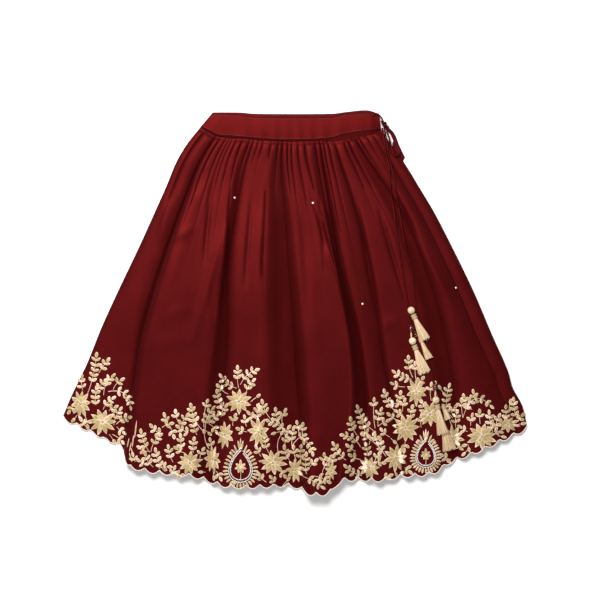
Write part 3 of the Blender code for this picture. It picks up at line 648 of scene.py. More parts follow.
SPRIGS = (        # from their base to the tip of their last leaf
    (-349, -156, -333, -86, -3, 5), (-329, -119, -311, -95, 1, 2), (-356, -148, -357, -122, 2, 2),
    (-335, -160, -314, -129, 4, 2), (-321, -156, -302, -122, 5, 2), (-305, -147, -287, -129, 3, 1),
    (-313, -150, -276, -184, 16, 4), (-334, -173, -332, -141, 2, 3), (-322, -180, -301, -160, 3, 2),
    (-312, -182, -297, -176, 1, 1), (-304, -207, -290, -177, 3, 2), (-300, -205, -273, -193, 3, 2),
    (-299, -209, -283, -220, -2, 1), (-307, -222, -287, -238, 2, 1), (-312, -222, -303, -237, 1, 0),
    (-345, -212, -360, -194, 3, 1), (-366, -190, -375, -199, 1, 1), (-372, -172, -383, -186, 2, 1),
    (-352, -192, -350, -212, 2, 1), (-243, -251, -258, -213, 3, 3), (-245, -250, -263, -241, 2, 2),
    (-241, -251, -222, -220, 4, 2), (-222, -221, -241, -204, 3, 2), (-222, -210, -203, -205, 3, 1),
    (-210, -206, -218, -186, 2, 1), (-192, -206, -200, -180, 2, 1), (-190, -207, -177, -187, 2, 2),
    (-210, -208, -203, -228, 2, 1), (-178, -218, -197, -206, 2, 2), (-188, -246, -190, -221, 2, 2),
    (-183, -253, -200, -241, 2, 1), (-170, -252, -167, -226, 2, 2), (-164, -222, -170, -187, 3, 3),
    (-153, -216, -174, -170, 5, 3), (-152, -210, -145, -163, 3, 1), (-150, -213, -134, -176, 5, 3),
    (-144, -204, -125, -188, 2, 2), (-151, -214, -142, -224, 1, 0), (-144, -204, -132, -222, 3, 1),
    (-144, -246, -151, -214, 3, 0), (-140, -243, -141, -228, 1, 1), (-159, -261, -151, -244, 2, 1),
    (-217, -284, -233, -245, 4, 3), (-204, -268, -212, -239, 2, 2), (-237, -276, -251, -251, 3, 2),
    (-244, -272, -264, -263, 2, 2), (-228, -278, -207, -277, 2, 1), (-205, -291, -200, -275, 1, 1),
    (-200, -289, -185, -291, 1, 1), (-267, -267, -271, -252, 1, 1), (-150, -285, -160, -283, 1, 1),
    (-137, -284, -138, -297, 1, 0), (-132, -283, -124, -299, 1, 1), (-98, -144, -126, -121, 4, 3),
    (-94, -144, -95, -107, 2, 2), (-91, -138, -60, -112, 5, 3), (-82, -156, -66, -129, 4, 2),
    (-74, -167, -58, -156, 1, 0), (-112, -154, -131, -138, 2, 1), (-117, -182, -131, -147, 4, 3),
    (-124, -192, -112, -172, 3, 2), (-64, -195, -79, -183, 2, 1), (-62, -197, -60, -171, 2, 2),
    (-81, -208, -84, -189, 1, 1), (-80, -217, -97, -209, 2, 1), (-104, -207, -98, -187, 2, 2),
    (-19, -214, -49, -198, -3, 3), (-19, -214, -33, -177, 3, 2), (-22, -201, -13, -180, 3, 1),
    (-35, -201, -55, -164, 4, 2), (-52, -188, -62, -172, 2, 1), (-28, -252, -19, -217, 5, 0),
    (-18, -218, -37, -223, -3, 0), (-18, -222, -8, -208, 1, 1), (-17, -239, -12, -222, 1, 1),
    (-10, -264, -18, -241, 2, 2), (-44, -252, -51, -222, 2, 2), (-5, -242, -1, -210, 2, 2),
    (11, -230, 4, -199, 2, 1), (13, -229, 13, -202, 1, 1), (-5, -242, 19, -221, 3, 1),
    (13, -229, 30, -256, 4, 3), (10, -264, 11, -239, 2, 2), (2, -266, -3, -241, 1, 1),
    (19, -287, 20, -252, 2, 3), (25, -275, 38, -263, 1, 1), (14, -292, 48, -312, 3, 3),
    (31, -290, 59, -302, 2, 2), (44, -293, 63, -256, 4, 2), (49, -278, 50, -252, 1, 1),
    (-48, -301, -61, -285, 2, 2), (-33, -301, -41, -290, 1, 1), (-24, -285, -15, -295, 1, 1),
    (-21, -309, -8, -296, 1, 0), (-57, -258, -65, -240, 1, 1), (60, -292, 66, -254, 2, 1),
    (85, -264, 64, -234, 3, 3), (110, -243, 75, -222, -6, 3), (104, -223, 93, -193, 3, 2),
    (102, -250, 87, -237, 2, 1), (110, -264, 91, -254, 2, 2), (112, -291, 83, -273, 3, 3),
    (134, -217, 105, -173, 6, 4), (134, -211, 133, -161, 2, 1), (139, -208, 146, -177, 3, 2),
    (139, -208, 159, -199, 2, 2), (125, -230, 112, -191, 3, 3), (152, -258, 111, -221, -4, 1),
    (124, -239, 134, -218, 2, 1), (142, -244, 134, -219, 2, 1), (124, -258, 118, -236, 1, 2),
    (148, -252, 143, -226, 2, 2), (159, -226, 143, -211, 2, 2), (181, -192, 149, -146, 7, 3),
    (177, -173, 178, -149, 2, 1), (176, -171, 154, -176, -3, 3), (180, -183, 186, -162, 2, 1),
    (180, -188, 167, -180, 1, 1), (172, -198, 156, -185, 2, 2), (195, -129, 164, -114, 4, 3),
    (184, -142, 160, -135, 2, 1), (197, -126, 191, -90, 3, 2), (204, -136, 202, -100, 2, 1),
    (206, -138, 217, -126, 1, 1), (195, -196, 199, -173, 3, 2), (221, -182, 212, -163, 2, 1),
    (211, -210, 212, -187, 1, 1), (184, -234, 182, -251, 1, 1), (160, -228, 168, -238, 1, 1),
    (133, -268, 144, -251, 2, 1), (138, -268, 151, -271, 1, 1), (146, -299, 163, -290, 2, 2),
    (172, -295, 182, -286, 1, 1), (184, -277, 194, -288, 1, 1), (228, -165, 229, -135, 2, 1),
    (238, -158, 235, -133, 1, 0), (253, -158, 242, -140, 1, 0), (264, -209, 260, -137, 8, 5),
    (262, -186, 272, -173, 1, 1), (270, -211, 273, -181, 2, 3), (281, -193, 279, -162, 1, 1),
    (281, -194, 336, -184, 28, 6), (296, -180, 282, -154, 3, 2), (305, -170, 299, -147, 2, 1),
    (289, -217, 276, -206, 2, 2), (294, -207, 298, -187, 1, 2), (310, -204, 310, -180, 1, 1),
    (331, -217, 326, -182, 2, 3), (336, -215, 345, -188, 3, 2), (355, -199, 354, -173, 1, 2),
    (359, -182, 363, -164, 1, 0), (373, -196, 368, -160, 3, 3), (375, -199, 385, -188, 1, 1),
    (373, -206, 386, -205, 1, 1), (333, -217, 347, -220, 2, 2), (340, -224, 352, -228, 1, 1),
    (289, -238, 291, -250, 1, 1), (290, -246, 280, -256, 1, 0), (271, -246, 286, -240, 1, 1),
    (262, -264, 244, -254, 2, 2), (250, -262, 258, -270, 1, 1), (-92, -302, -104, -300, 1, 1),
)
LEAF_LENGTH = 8.6
LEAF_WIDTH = 5.3
LEAF_FROM = 0.9          # a leaf starts this far off its stem
PAIR_STEP = 8.8
LEAF_ANGLE = 0.92
PETAL_WIDTH = 0.365      # in shares of the flower's size across the petal
STEM_RADIUS = 0.48
THREAD_RAISE = 0.7       # how high padded satin stitch stands
BEAD_SIZE = 2.5
STONE = (3.6, 3.6, 2.6)
RING_BEADS = 8           # round each flower's stone,
RING_BEAD = (1.2, 1.2, 1.2)
RING_RADIUS = 2.6
DROP_BEAD_ROWS = (0.98, 0.84)
DROP_LEAVES = 27         # fringe a drop,
DROP_LEAF = 8.2          # each so long,
DROP_SPIKES = 7          # and spikes stand on its point
DROP_SPIKE = 15
CRYSTALS = ((-101, 175), (30, 166), (113, -3), (270, 24))
CRYSTAL = (3.6, 3.6, 2.2)
pick = random.Random(11)


def satin_motif(sides, outer_tip, inner_tip):
    """Model one padded leaf or petal, 1 long along Y and 1 wide, and keep its corners and faces."""
    bpy.ops.mesh.primitive_cylinder_add(vertices=sides, radius=0.5, depth=0.5, location=(0, 0, 0.25))
    bpy.ops.object.mode_set(mode="EDIT")
    bpy.ops.mesh.select_mode(type="FACE")
    motif = bpy.context.active_object
    shape = bmesh.from_edit_mesh(motif.data)
    for face in shape.faces:
        face.select_set(face.normal.z > 0.9)
    bmesh.update_edit_mesh(motif.data)
    bpy.ops.mesh.inset(thickness=0.13, depth=0.4)
    bpy.ops.mesh.poke(offset=-0.3)
    bpy.ops.mesh.select_mode(type="VERT")
    for end, shift in ((1, outer_tip), (-1, inner_tip)):
        bpy.ops.mesh.select_all(action="DESELECT")
        shape = bmesh.from_edit_mesh(motif.data)
        for corner in shape.verts:
            corner.select_set(corner.co.y * end > 0.47)
        shape.select_flush(True)
        bmesh.update_edit_mesh(motif.data)
        bpy.ops.transform.translate(value=(0, end * shift, 0))
    bpy.ops.object.mode_set(mode="OBJECT")
    return taken(motif)


def taken(model):
    """Corners and faces of a modelled shape, whose own object isn't kept."""
    corners = np.array([corner.co for corner in model.data.vertices])
    faces = [tuple(face.vertices) for face in model.data.polygons]
    bpy.data.objects.remove(model, do_unlink=True)
    return corners, faces


def tone_with_painted_sheen_and_shade(corners, shade):
    """Tone of a motif's threads: a pale rim, partly the cream thread's own colour and partly painted
    sheen, and a darker middle, painted shade along its centre groove.
    """
    from_middle = np.hypot(corners[:, 0], corners[:, 1])
    return np.clip(np.interp(from_middle, (0, 0.36, 0.5), (0.0, 0.30, 1.0)) + shade, 0, 1)


def lay(work, motif, middle, turn, size, lift, shade=0.0):
    """Lay a motif on the plan with its length along a direction. size is length, width, raise."""
    corners, faces = motif
    along = corners[:, 1] * size[0]
    aside = corners[:, 0] * size[1]
    x = middle[0] + along * math.cos(turn) + aside * math.sin(turn)
    y = middle[1] + along * math.sin(turn) - aside * math.cos(turn)
    work.append((np.column_stack((x, y, corners[:, 2] * size[2] + lift)), faces,
                 tone_with_painted_sheen_and_shade(corners, shade)))


def lay_stem(work, points, radius=STEM_RADIUS):
    places = np.column_stack((points, np.full(len(points), radius * 0.6)))
    corners, faces = tube(places, radius, 5)
    work.append((corners, faces, np.full(len(corners), 0.7)))


def leaf_at(work, x, y, turn, scale=1.0):
    """One leaf that starts at a place and points along a direction."""
    length = LEAF_LENGTH * scale * pick.uniform(0.9, 1.1)
    width = LEAF_WIDTH * scale * pick.uniform(0.88, 1.1)
    reach = LEAF_FROM + length / 2
    middle = (x + math.cos(turn) * reach, y + math.sin(turn) * reach)
    shade = pick.uniform(-0.22, 0.18)
    lay(work, satin_leaf, middle, turn, (length, width, THREAD_RAISE), -0.15, shade)


def lay_sprig(work, sprig):
    """A stem with its leaves in pairs below a last one, closer towards its tip."""
    base = np.array((sprig.x, sprig.y), float)
    tip = np.array((sprig.tip_x, sprig.tip_y), float)
    length = np.hypot(*(tip - base))
    aside = np.array((base[1] - tip[1], tip[0] - base[0])) / length
    control = (base + tip) / 2 + 2 * sprig.bow * aside
    stem_end = max(1 - 0.9 * LEAF_LENGTH / length, 0.12)

    def at(share):
        return base * (1 - share) ** 2 + control * 2 * share * (1 - share) + tip * share ** 2

    def heading(share):
        run = (control - base) * (1 - share) + (tip - control) * share
        return math.atan2(run[1], run[0])

    steps = max(3, int(length / 5))
    lay_stem(work, np.array([at(share) for share in np.linspace(0, stem_end, steps + 1)]))
    leaf_at(work, *at(stem_end), heading(stem_end) + pick.uniform(-0.12, 0.12))
    for pair in range(sprig.pairs):
        share = stem_end - (0.55 + pair) * PAIR_STEP / length
        if share < 0.04:
            break
        for hand in (-1, 1):
            turn = heading(share) + hand * LEAF_ANGLE + pick.uniform(-0.16, 0.16)
            leaf_at(work, *at(share), turn, 0.92)


def lay_flower(work, beads, stones, flower):
    """Pointed petals round a stone in a ring of small beads."""
    middle = np.array((flower.x, flower.y), float)
    half = np.array((flower.width / 2, flower.height / 2))
    start = pick.uniform(0, math.tau)
    for petal in range(flower.petals):
        angle = start + math.tau * petal / flower.petals + pick.uniform(-0.07, 0.07)
        reach = pick.uniform(0.88, 1.04)
        end = half * (math.cos(angle), math.sin(angle)) * reach
        turn = math.atan2(end[1], end[0])
        length = np.hypot(*end) * 0.92
        wide = PETAL_WIDTH * math.hypot(half[0] * math.sin(angle), half[1] * math.cos(angle))
        lay(work, satin_petal, middle + end * 0.54, turn, (length, wide, THREAD_RAISE),
            0.1 + 0.3 * (petal % 2), pick.uniform(-0.36, -0.12))
        if petal % 2:
            lay(work, satin_petal, middle + end * 0.36, turn + 0.33,
                (length * 0.6, wide * 0.7, THREAD_RAISE), 0.5, pick.uniform(-0.3, 0))
    for bead in range(RING_BEADS):
        angle = math.tau * bead / RING_BEADS
        place = middle + (RING_RADIUS * math.cos(angle), RING_RADIUS * math.sin(angle))
        lay(beads, round_bead, place, 0, RING_BEAD, 1.6)
    lay(stones, cut_stone, middle, 0.2, STONE, 1.5)


def lay_drop(work, beads, drop):
    """Two beaded rows in a drop shape, fringed with leaves, with spikes above and a sprig inside."""
    def outline(share, scale):
        angle = math.tau * share
        x = drop.x + scale * drop.width / 1.6 * math.sin(angle) * abs(math.sin(angle / 2)) ** 0.9
        return np.array((x, drop.y + scale * drop.height / 2 * math.cos(angle)))

    squeeze = min(1, drop.width / drop.height * 1.5)
    for scale in DROP_BEAD_ROWS:
        share = 0.02
        while share < 0.98:
            here = outline(share, scale)
            lay(beads, round_bead, here, 0, (BEAD_SIZE, BEAD_SIZE * squeeze, BEAD_SIZE), 0.9)
            step = np.hypot(*(outline(share + 0.002, scale) - here)) / 0.002
            share += BEAD_SIZE * 1.02 / step
    for leaf in range(DROP_LEAVES):
        share = 0.13 + 0.74 * leaf / (DROP_LEAVES - 1)
        here = outline(share, 1.04)
        run = outline(share + 0.004, 1.04) - outline(share - 0.004, 1.04)
        turn = math.atan2(run[0], -run[1]) + pick.uniform(-0.08, 0.08)
        outward = np.array((math.cos(turn) * squeeze, math.sin(turn)))
        length = DROP_LEAF * np.hypot(*outward)
        lay(work, satin_leaf, here + outward * 4.4, math.atan2(outward[1], outward[0]),
            (length, 3.5 * squeeze ** 0.5, THREAD_RAISE), 0.05, pick.uniform(-0.2, 0.12))
    for spike in range(DROP_SPIKES):
        aside = spike - DROP_SPIKES // 2
        lean = aside * 0.19
        here = outline((0.055 * aside) % 1, 1.02)
        length = DROP_SPIKE - 1.6 * abs(aside)
        turn = math.pi / 2 - lean * squeeze
        middle = here + np.array((math.cos(turn), math.sin(turn))) * (length / 2 - 1)
        lay(work, satin_petal, middle, turn, (length, 3.0 * squeeze ** 0.5, THREAD_RAISE), 0.3,
            pick.uniform(-0.1, 0.15))
    inside = (drop.x, drop.y - drop.height * 0.06)
    lay_stem(work, np.array([(drop.x, drop.y - drop.height * 0.40),
                             (drop.x + 0.4, drop.y - drop.height * 0.25), inside]))
    for petal in range(7):
        turn = math.pi / 2 + math.tau * petal / 7
        length = (11.5 if petal == 0 else 8.6) * drop.height / 58
        middle = (inside[0] + math.cos(turn) * length * 0.6 * squeeze,
                  inside[1] + math.sin(turn) * length * 0.6)
        lay(work, satin_leaf, middle, turn, (length, 4.4 * squeeze, THREAD_RAISE), 0.0,
            pick.uniform(-0.2, 0.1))
    lay(beads, round_bead, inside, 0, (2.2, 2.2, 2.2), 0.8)


def sewn(name, work, outer, material, level=None):
    """Drop every motif onto a panel. With a level, it is worked flat on the underside instead."""
    shapes = []
    tones = []
    for corners, faces, tone in work:
        heights = np.array([ground_at(outer, x, y) for x, y in corners[:, :2]])
        if np.isnan(heights).all() or (level is not None and np.isnan(heights).any()):
            continue
        heights = np.where(np.isnan(heights), np.nanmin(heights), heights)
        if level is None:
            heights = heights + corners[:, 2]
        else:
            heights = level - UNDER_SHARE * (corners[:, 2] + 0.15)
            faces = [face[::-1] for face in faces]
        shapes.append((np.column_stack((corners[:, :2], heights)), faces))
        tones.append(tone)
    return joined(name, shapes, material, tones)


def ground_at(outer, x, y):
    """Height of a panel's outer face at a place on the plan, or nan off the cloth."""
    place = outer.ray_cast(Vector((x, y, 200)), Vector((0, 0, -1)))[0]
    return math.nan if place is None else place.z


def gold_thread(name):
    """Gold-wrapped and cream silk floss, laid side by side: bright rims, partly painted sheen, over a
    middle deepened by painted shade, as the thread tone sets them.
    """
    strand = 0.0006       # drawn twice as coarse as the floss
    patch_size = 0.011
    material, tree, shader = new_finish(name, Roughness=0.42, Metallic=0.12, Sheen_Weight=0.3,
                                        Sheen_Tint=linear("FFE8C4"))
    tone = add_node(tree, "Attribute", attribute_name="thread_tone_and_painted_light").outputs["Fac"]
    place = add_node(tree, "TexCoord").outputs["Object"]
    patch = add_node(tree, "TexNoise", {"Vector": place, "Scale": 1 / patch_size, "Detail": 1.0})
    uneven = add_node(tree, "MapRange", {"Value": patch.outputs[0], "From Min": 0.3, "From Max": 0.7,
                                         "To Min": -0.22, "To Max": 0.22})
    mixed = add_node(tree, "Math", {0: tone, 1: uneven.outputs[0]}, operation="ADD", use_clamp=True)
    ramp = add_node(tree, "ValToRGB", {"Fac": mixed.outputs[0]})
    ramp.color_ramp.elements[0].color = linear("9E885A")
    ramp.color_ramp.elements[1].color = linear("F9DCCC")
    middle = ramp.color_ramp.elements.new(0.55)
    middle.color = linear("D0B58C")
    tree.links.new(ramp.outputs[0], shader.inputs["Base Color"])
    floss = add_node(tree, "TexWave", {"Vector": place, "Scale": 1 / (strand * TWO_THREADS),
                                       "Distortion": 1.5}, bands_direction="DIAGONAL")
    bump = add_node(tree, "Bump", {"Height": floss.outputs[1], "Strength": 0.35, "Distance": 0.0002})
    tree.links.new(bump.outputs[0], shader.inputs["Normal"])
    return material


def silver_bead(name, pale, deep):
    """Silver-lined glass beads and foiled stones: small mirrors, each a little different."""
    facet = 0.003
    material, tree, shader = new_finish(name, Roughness=0.25, Metallic=0.15, Coat_Weight=0.4)
    place = add_node(tree, "TexCoord").outputs["Object"]
    patch = add_node(tree, "TexVoronoi", {"Vector": place, "Scale": 1 / facet})
    tint = add_node(tree, "Mix", {0: patch.outputs["Distance"], 6: linear(pale),
                                  7: linear(deep)}, data_type="RGBA")
    tree.links.new(tint.outputs[2], shader.inputs["Base Color"])
    return material


UNDER_SHARE = 0.26       # the underside's stitches are pressed this flat by the floor
satin_leaf = satin_motif(10, 0.06, 0.03)
satin_petal = satin_motif(12, 0.14, 0.05)
bpy.ops.mesh.primitive_ico_sphere_add(subdivisions=1, radius=0.5)
round_bead = taken(bpy.context.active_object)
bpy.ops.mesh.primitive_cone_add(vertices=8, radius1=0.5, radius2=0.26, depth=0.5)
cut_stone = taken(bpy.context.active_object)

goldwork = []
beadwork = []
stonework = []
for row in SPRIGS:
    lay_sprig(goldwork, Sprig(*row))
for drop in DROPS:
    lay_drop(goldwork, beadwork, drop)
for spike in SPIKES:
    run = (spike.tip_x - spike.x, spike.tip_y - spike.y)
    lay(goldwork, satin_petal, ((spike.x + spike.tip_x) / 2, (spike.y + spike.tip_y) / 2),
        math.atan2(run[1], run[0]), (math.hypot(*run), spike.width, THREAD_RAISE), 0.1, 0.15)
for flower in FLOWERS:
    lay_flower(goldwork, beadwork, stonework, flower)
for place in CRYSTALS:
    lay(beadwork, cut_stone, place, 0.3, CRYSTAL, 0.6)
gold = gold_thread("gold_zari_and_silk_floss")
silver = silver_bead("silver_lined_glass", "FFF9F0", "E4DBCD")
foiled = silver_bead("foiled_cut_stone", "B9AD99", "6E604E")
front_goldwork = sewn("front_embroidery", goldwork, front_outer, gold)
front_beads = sewn("front_embroidery_beads", beadwork, front_outer, silver)
front_stones = sewn("front_embroidery_stones", stonework, front_outer, foiled)

# The back panel carries the same pattern, seen from below and turned left to right. Its hem is a
# little shorter, so the pattern is worked that much higher.
UNDER_SHIFT = 14
under_work = []
for corners, faces, tone in goldwork:
    turned = corners * np.array((-1, 1, 1)) + np.array((0, UNDER_SHIFT, 0))
    under_work.append((turned, [face[::-1] for face in faces], tone))
back_goldwork = sewn("back_embroidery", under_work, back_outer, gold, BACK_FACE - BACK_CLOTH + 0.02)

# The drawstring is one silk cord of three twisted strands, 3 mm thick, in the band's casing. Its
# two ends hang from a bow knot at the band's right end, where one short loop of the bow shows.
CORD = 3.0
CORD_SLACK = 2.0         # how far the limp cord may stand off the cloth that it lies on
CORD_STEP = 7.5          # between the places where a cord's height is taken,
LOOP_STEP = 5.0          # and the loop's,
CORD_FINE = 1.1          # and between the points that they are drawn through
KNOT = (149.4, 298.4, 5.8)
KNOT_REACH = (1.25, 1.3, 1.7)
TWIST_PITCH = 13.0
CORD_ONE = (
    (146.4, 292.4), (147.6, 284), (150.4, 264), (154, 242), (157, 228), (159, 205), (161, 181),
    (166, 150), (169, 123), (173, 95), (176, 74), (180, 52), (183, 30), (187, 7), (190.5, -12),
    (192.5, -28), (193.6, -39.0),
)
CORD_TWO = (
    (149.7, 292.0), (151.4, 283), (154.0, 264), (157.6, 242), (161, 228), (165, 210), (168, 191),
    (175, 150), (180, 119), (185, 89), (191, 69), (196, 48), (199, 22), (202, -3), (208, -30),
    (217, -72), (227, -111), (233.6, -136.8),
)
LOOP = (
    (153.1, 293.0), (155.2, 284), (158.8, 272), (161.8, 260), (163.4, 252), (166.2, 246.4),
    (170.4, 244.6), (173.6, 247.8), (173.6, 253.5), (170.2, 262.5), (165.4, 273), (160.4, 284),
    (155.4, 295.8),
)
ARCH = (
    (129.5, 312.5, 6.6), (134.5, 315.2, 6.8), (140.5, 313.6, 7.0), (145.6, 308.2, 6.8),
    (148.0, 301.5, 6.4),
)


def solid_points(node):
    """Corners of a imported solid, in millimetres."""
    return np.array([corner.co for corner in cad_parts[node].data.vertices]) / MM


def curve_through(route, step):
    """Points a set distance apart along a smooth curve through a route's own points."""
    points = np.array(route, float)
    along = np.concatenate(([0], np.cumsum(np.linalg.norm(np.diff(points, axis=0), axis=1))))
    fine = np.linspace(0, along[-1], 600)
    before = np.vstack((2 * points[0] - points[1], points, 2 * points[-1] - points[-2]))
    i = np.clip(np.searchsorted(along, fine, side="right") - 1, 0, len(points) - 2)
    u = ((fine - along[i]) / (along[i + 1] - along[i]))[:, None]
    a, b, c, d = before[i], before[i + 1], before[i + 2], before[i + 3]
    curve = 0.5 * (2 * b + (c - a) * u + (2 * a - 5 * b + 4 * c - d) * u ** 2
                   + (3 * b - 3 * c + d - a) * u ** 3)
    run = np.concatenate(([0], np.cumsum(np.linalg.norm(np.diff(curve, axis=0), axis=1))))
    at = np.linspace(0, run[-1], max(2, round(run[-1] / step)) + 1)
    return np.column_stack([np.interp(at, run, curve[:, axis]) for axis in range(points.shape[1])])


def resting(x, y, height, clear, slack=math.inf):
    """The solid's own height, kept clear of the dressed cloth and within some slack above it."""
    lowest = ground_at(front_outer, x, y) + clear
    return float(np.fmax(np.fmin(height, lowest + slack), lowest))


def lying_route(node, route, step):
    """A cord's middle line: its route on the plan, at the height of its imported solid."""
    places = curve_through(route, step)
    points = solid_points(node)
    heights = []
    for x, y in places:
        apart = np.hypot(points[:, 0] - x, points[:, 1] - y)
        near = points[apart < max(CORD * 0.55, np.sort(apart)[7] + 0.01)][:, 2]
        heights.append(resting(x, y, (near.min() + near.max()) / 2, CORD * 0.5, CORD_SLACK))
    return curve_through(np.column_stack((places, heights)), CORD_FINE)


def twisted(line, radius):
    """Corners and faces of a cord of three twisted strands along a line."""
    sides = 12
    run = np.concatenate(([0], np.cumsum(np.linalg.norm(np.diff(line, axis=0), axis=1))))
    turn = math.tau * np.arange(sides)[None] / sides - math.tau * run[:, None] / TWIST_PITCH
    strands = np.abs(np.cos(1.5 * turn))
    return tube(line, radius * (0.84 + 0.18 * strands), sides)


def silk_cord(name, colour, lit):
    """Twisted viscose silk: long glossy strands with dark grooves between them. Its fibres are painted
    in the lit colour where their relief stands highest, as highlights.
    """
    fibre = 0.0005
    material, tree, shader = new_finish(name, Roughness=0.42, Metallic=0.3,
                                        Specular_IOR_Level=0.2, Specular_Tint=linear("D04A44"))
    place = add_node(tree, "TexCoord").outputs["Object"]
    stretched = add_node(tree, "Mapping", {"Vector": place, "Scale": (1 / fibre, 0.12 / fibre,
                                                                      1 / fibre)})
    fibres = add_node(tree, "TexNoise", {"Vector": stretched.outputs[0], "Scale": 0.6})
    dye = add_node(tree, "Mix", {0: fibres.outputs[0], 6: linear(colour), 7: linear(lit)},
                   data_type="RGBA")
    tree.links.new(dye.outputs[2], shader.inputs["Base Color"])
    bump = add_node(tree, "Bump", {"Height": fibres.outputs[0], "Strength": 0.4, "Distance": 0.0002})
    tree.links.new(bump.outputs[0], shader.inputs["Normal"])
    return material


# The cord's own dark red is set darker still as painted shade, standing in for the shadow it casts on
# the cloth beside it.
cord_silk_painted_shade = silk_cord("red_drawstring_silk_painted_shade", "3A080A", "511012")
turns = np.linspace(0, math.tau, 90, endpoint=False)
lump = np.column_stack((
    KNOT[0] + KNOT_REACH[0] * (np.sin(turns) + 2 * np.sin(2 * turns)),
    KNOT[1] + KNOT_REACH[1] * (np.cos(turns) - 2 * np.cos(2 * turns)),
    KNOT[2] - KNOT_REACH[2] * np.sin(3 * turns),
))
arch = twisted(curve_through(ARCH, CORD_FINE), CORD / 2 * 0.9)
knot = joined("drawstring_bow_knot", [twisted(lump, CORD / 2), arch], cord_silk_painted_shade)
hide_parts("drawstring_knot")
cord_lines = {}
for node, route, step in (("drawstring_loop", LOOP, LOOP_STEP),
                          ("drawstring_cord_1", CORD_ONE, CORD_STEP),
                          ("drawstring_cord_2", CORD_TWO, CORD_STEP)):
    cord_lines[node] = lying_route(node, route, step)
    joined(node + "_silk", [twisted(cord_lines[node], CORD / 2)], cord_silk_painted_shade)
    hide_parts(node)

# Each end carries a pressed glass bead in dark red, with a gold cap at either side, and three tiny
# gold beads lead on to a tassel of the upper cluster.
BEAD_RADIUS = 4.8
BEAD_HALF_LENGTH = 5.4
CAP_RADIUS = 1.7
CAP_SUNK = 0.5           # how far a cap's middle lies inside the bead's end
CHAIN_BEAD = 2.6
BEADS = {"glass_bead_upper": (193.8, -44.8), "glass_bead_lower": (234.6, -142.6)}
BEAD_CHAIN = ((199.9, -49.7), (201.6, -53.8), (203.3, -56.6))


def red_glass(name):
    """Pressed glass, dark red through and through, with a hard wet gloss."""
    material, tree, shader = new_finish(name, Roughness=0.05, IOR=1.52, Transmission_Weight=0.3,
                                        Coat_Weight=0.6, Coat_Roughness=0.03)
    streak_size = 0.004
    place = add_node(tree, "TexCoord").outputs["Object"]
    streak = add_node(tree, "TexNoise", {"Vector": place, "Scale": 1 / streak_size})
    tint = add_node(tree, "Mix", {0: streak.outputs[0], 6: linear("3C0509"), 7: linear("7A1018")},
                    data_type="RGBA")
    tree.links.new(tint.outputs[2], shader.inputs["Base Color"])
    return material


def gilt(name):
    """Gold-plated brass, stamped and tumbled."""
    rub_size = 0.002
    material, tree, shader = new_finish(name, Roughness=0.28, Metallic=1.0)
    place = add_node(tree, "TexCoord").outputs["Object"]
    rubbed = add_node(tree, "TexNoise", {"Vector": place, "Scale": 1 / rub_size})
    tint = add_node(tree, "Mix", {0: rubbed.outputs[0], 6: linear("C79A4E"), 7: linear("EFD191")},
                    data_type="RGBA")
    tree.links.new(tint.outputs[2], shader.inputs["Base Color"])
    return material


bead_glass = red_glass("dark_red_pressed_glass")
bead_gilt = gilt("gilt_bead_caps")
bpy.ops.mesh.primitive_uv_sphere_add(segments=24, ring_count=14, radius=1)
smooth_ball = taken(bpy.context.active_object)
bpy.ops.mesh.primitive_torus_add(major_radius=1, minor_radius=0.26, major_segments=24,
                                 minor_segments=8)
wound_ring = taken(bpy.context.active_object)


def middle_height(node):
    heights = solid_points(node)[:, 2]
    return (heights.min() + heights.max()) / 2


bead_middles = {}
caps = []
for node, (x, y) in BEADS.items():
    middle = np.array((x, y, resting(x, y, middle_height(node), BEAD_RADIUS * 0.9)))
    corners, faces = smooth_ball
    bead_middles[node] = middle
    facets = 1 + 0.025 * np.cos(8 * np.arctan2(corners[:, 1], corners[:, 0]))
    shape = np.column_stack((corners[:, 0] * facets, corners[:, 2], -corners[:, 1] * facets))
    joined(node + "_pressed", [(middle + shape * (BEAD_RADIUS, BEAD_HALF_LENGTH,
                                                               BEAD_RADIUS), faces)], bead_glass)
    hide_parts(node)
    ring, ring_faces = wound_ring
    for end in (-1, 1):
        shape = np.column_stack((ring[:, 0], ring[:, 2], -ring[:, 1])) * CAP_RADIUS
        cap_shift = np.array((0, end * (BEAD_HALF_LENGTH - CAP_SUNK), 0))
        caps.append((middle + shape + cap_shift, ring_faces))
chain_height = middle_height("tassel_upper_2")
for x, y in BEAD_CHAIN:
    caps.append((round_bead[0] * CHAIN_BEAD + np.array((x, y, chain_height + 2.0)), round_bead[1]))
joined("gilt_beads_and_caps", caps, bead_gilt)

# The tassels are cream and gold viscose thread in two clusters of three. A long one has a ball wound
# with thread and a wrapped collar, a short one only the collar, and the cut ends splay a little.
Tassel = namedtuple("Tassel", "name head_x head_y end_x end_y ball hangs_from spread tone")
TASSELS = (
    Tassel("tassel_upper_2", 209.2, -60.6, 224.8, -95.0, False, None, 12, 0.36),
    Tassel("tassel_upper_3", 196.6, -65.4, 217.6, -119.5, True, "glass_bead_upper", 22, 0.60),
    Tassel("tassel_upper_1", 194.4, -14.2, 217.5, -63.6, True, None, 18, 0.42),
    Tassel("tassel_lower_3", 245.5, -198.0, 259.5, -249.0, False, None, 24, 0.34),
    Tassel("tassel_lower_2", 247.6, -172.0, 256.5, -197.0, False, None, 10, 0.40),
    Tassel("tassel_lower_1", 235.6, -164.2, 248.0, -222.0, True, "glass_bead_lower", 20, 0.38),
)
Head = namedtuple("Head", "root collar_end wide thick rings clear")
BALL_HEAD = Head(8.0, 15.5, 3.7, 3.1, 5, 5.4)
PLAIN_HEAD = Head(1.4, 7.5, 3.0, 2.4, 4, 2.4)
BALL_LONG = 6.2          # half length of the wound ball,
BALL_RADIUS = 5.9        # its radius,
BALL_TOP = 5.4           # and how far from its middle the loop goes in
COLLAR_THREAD = 3.1      # how far a ring's thread is stretched along the tassel
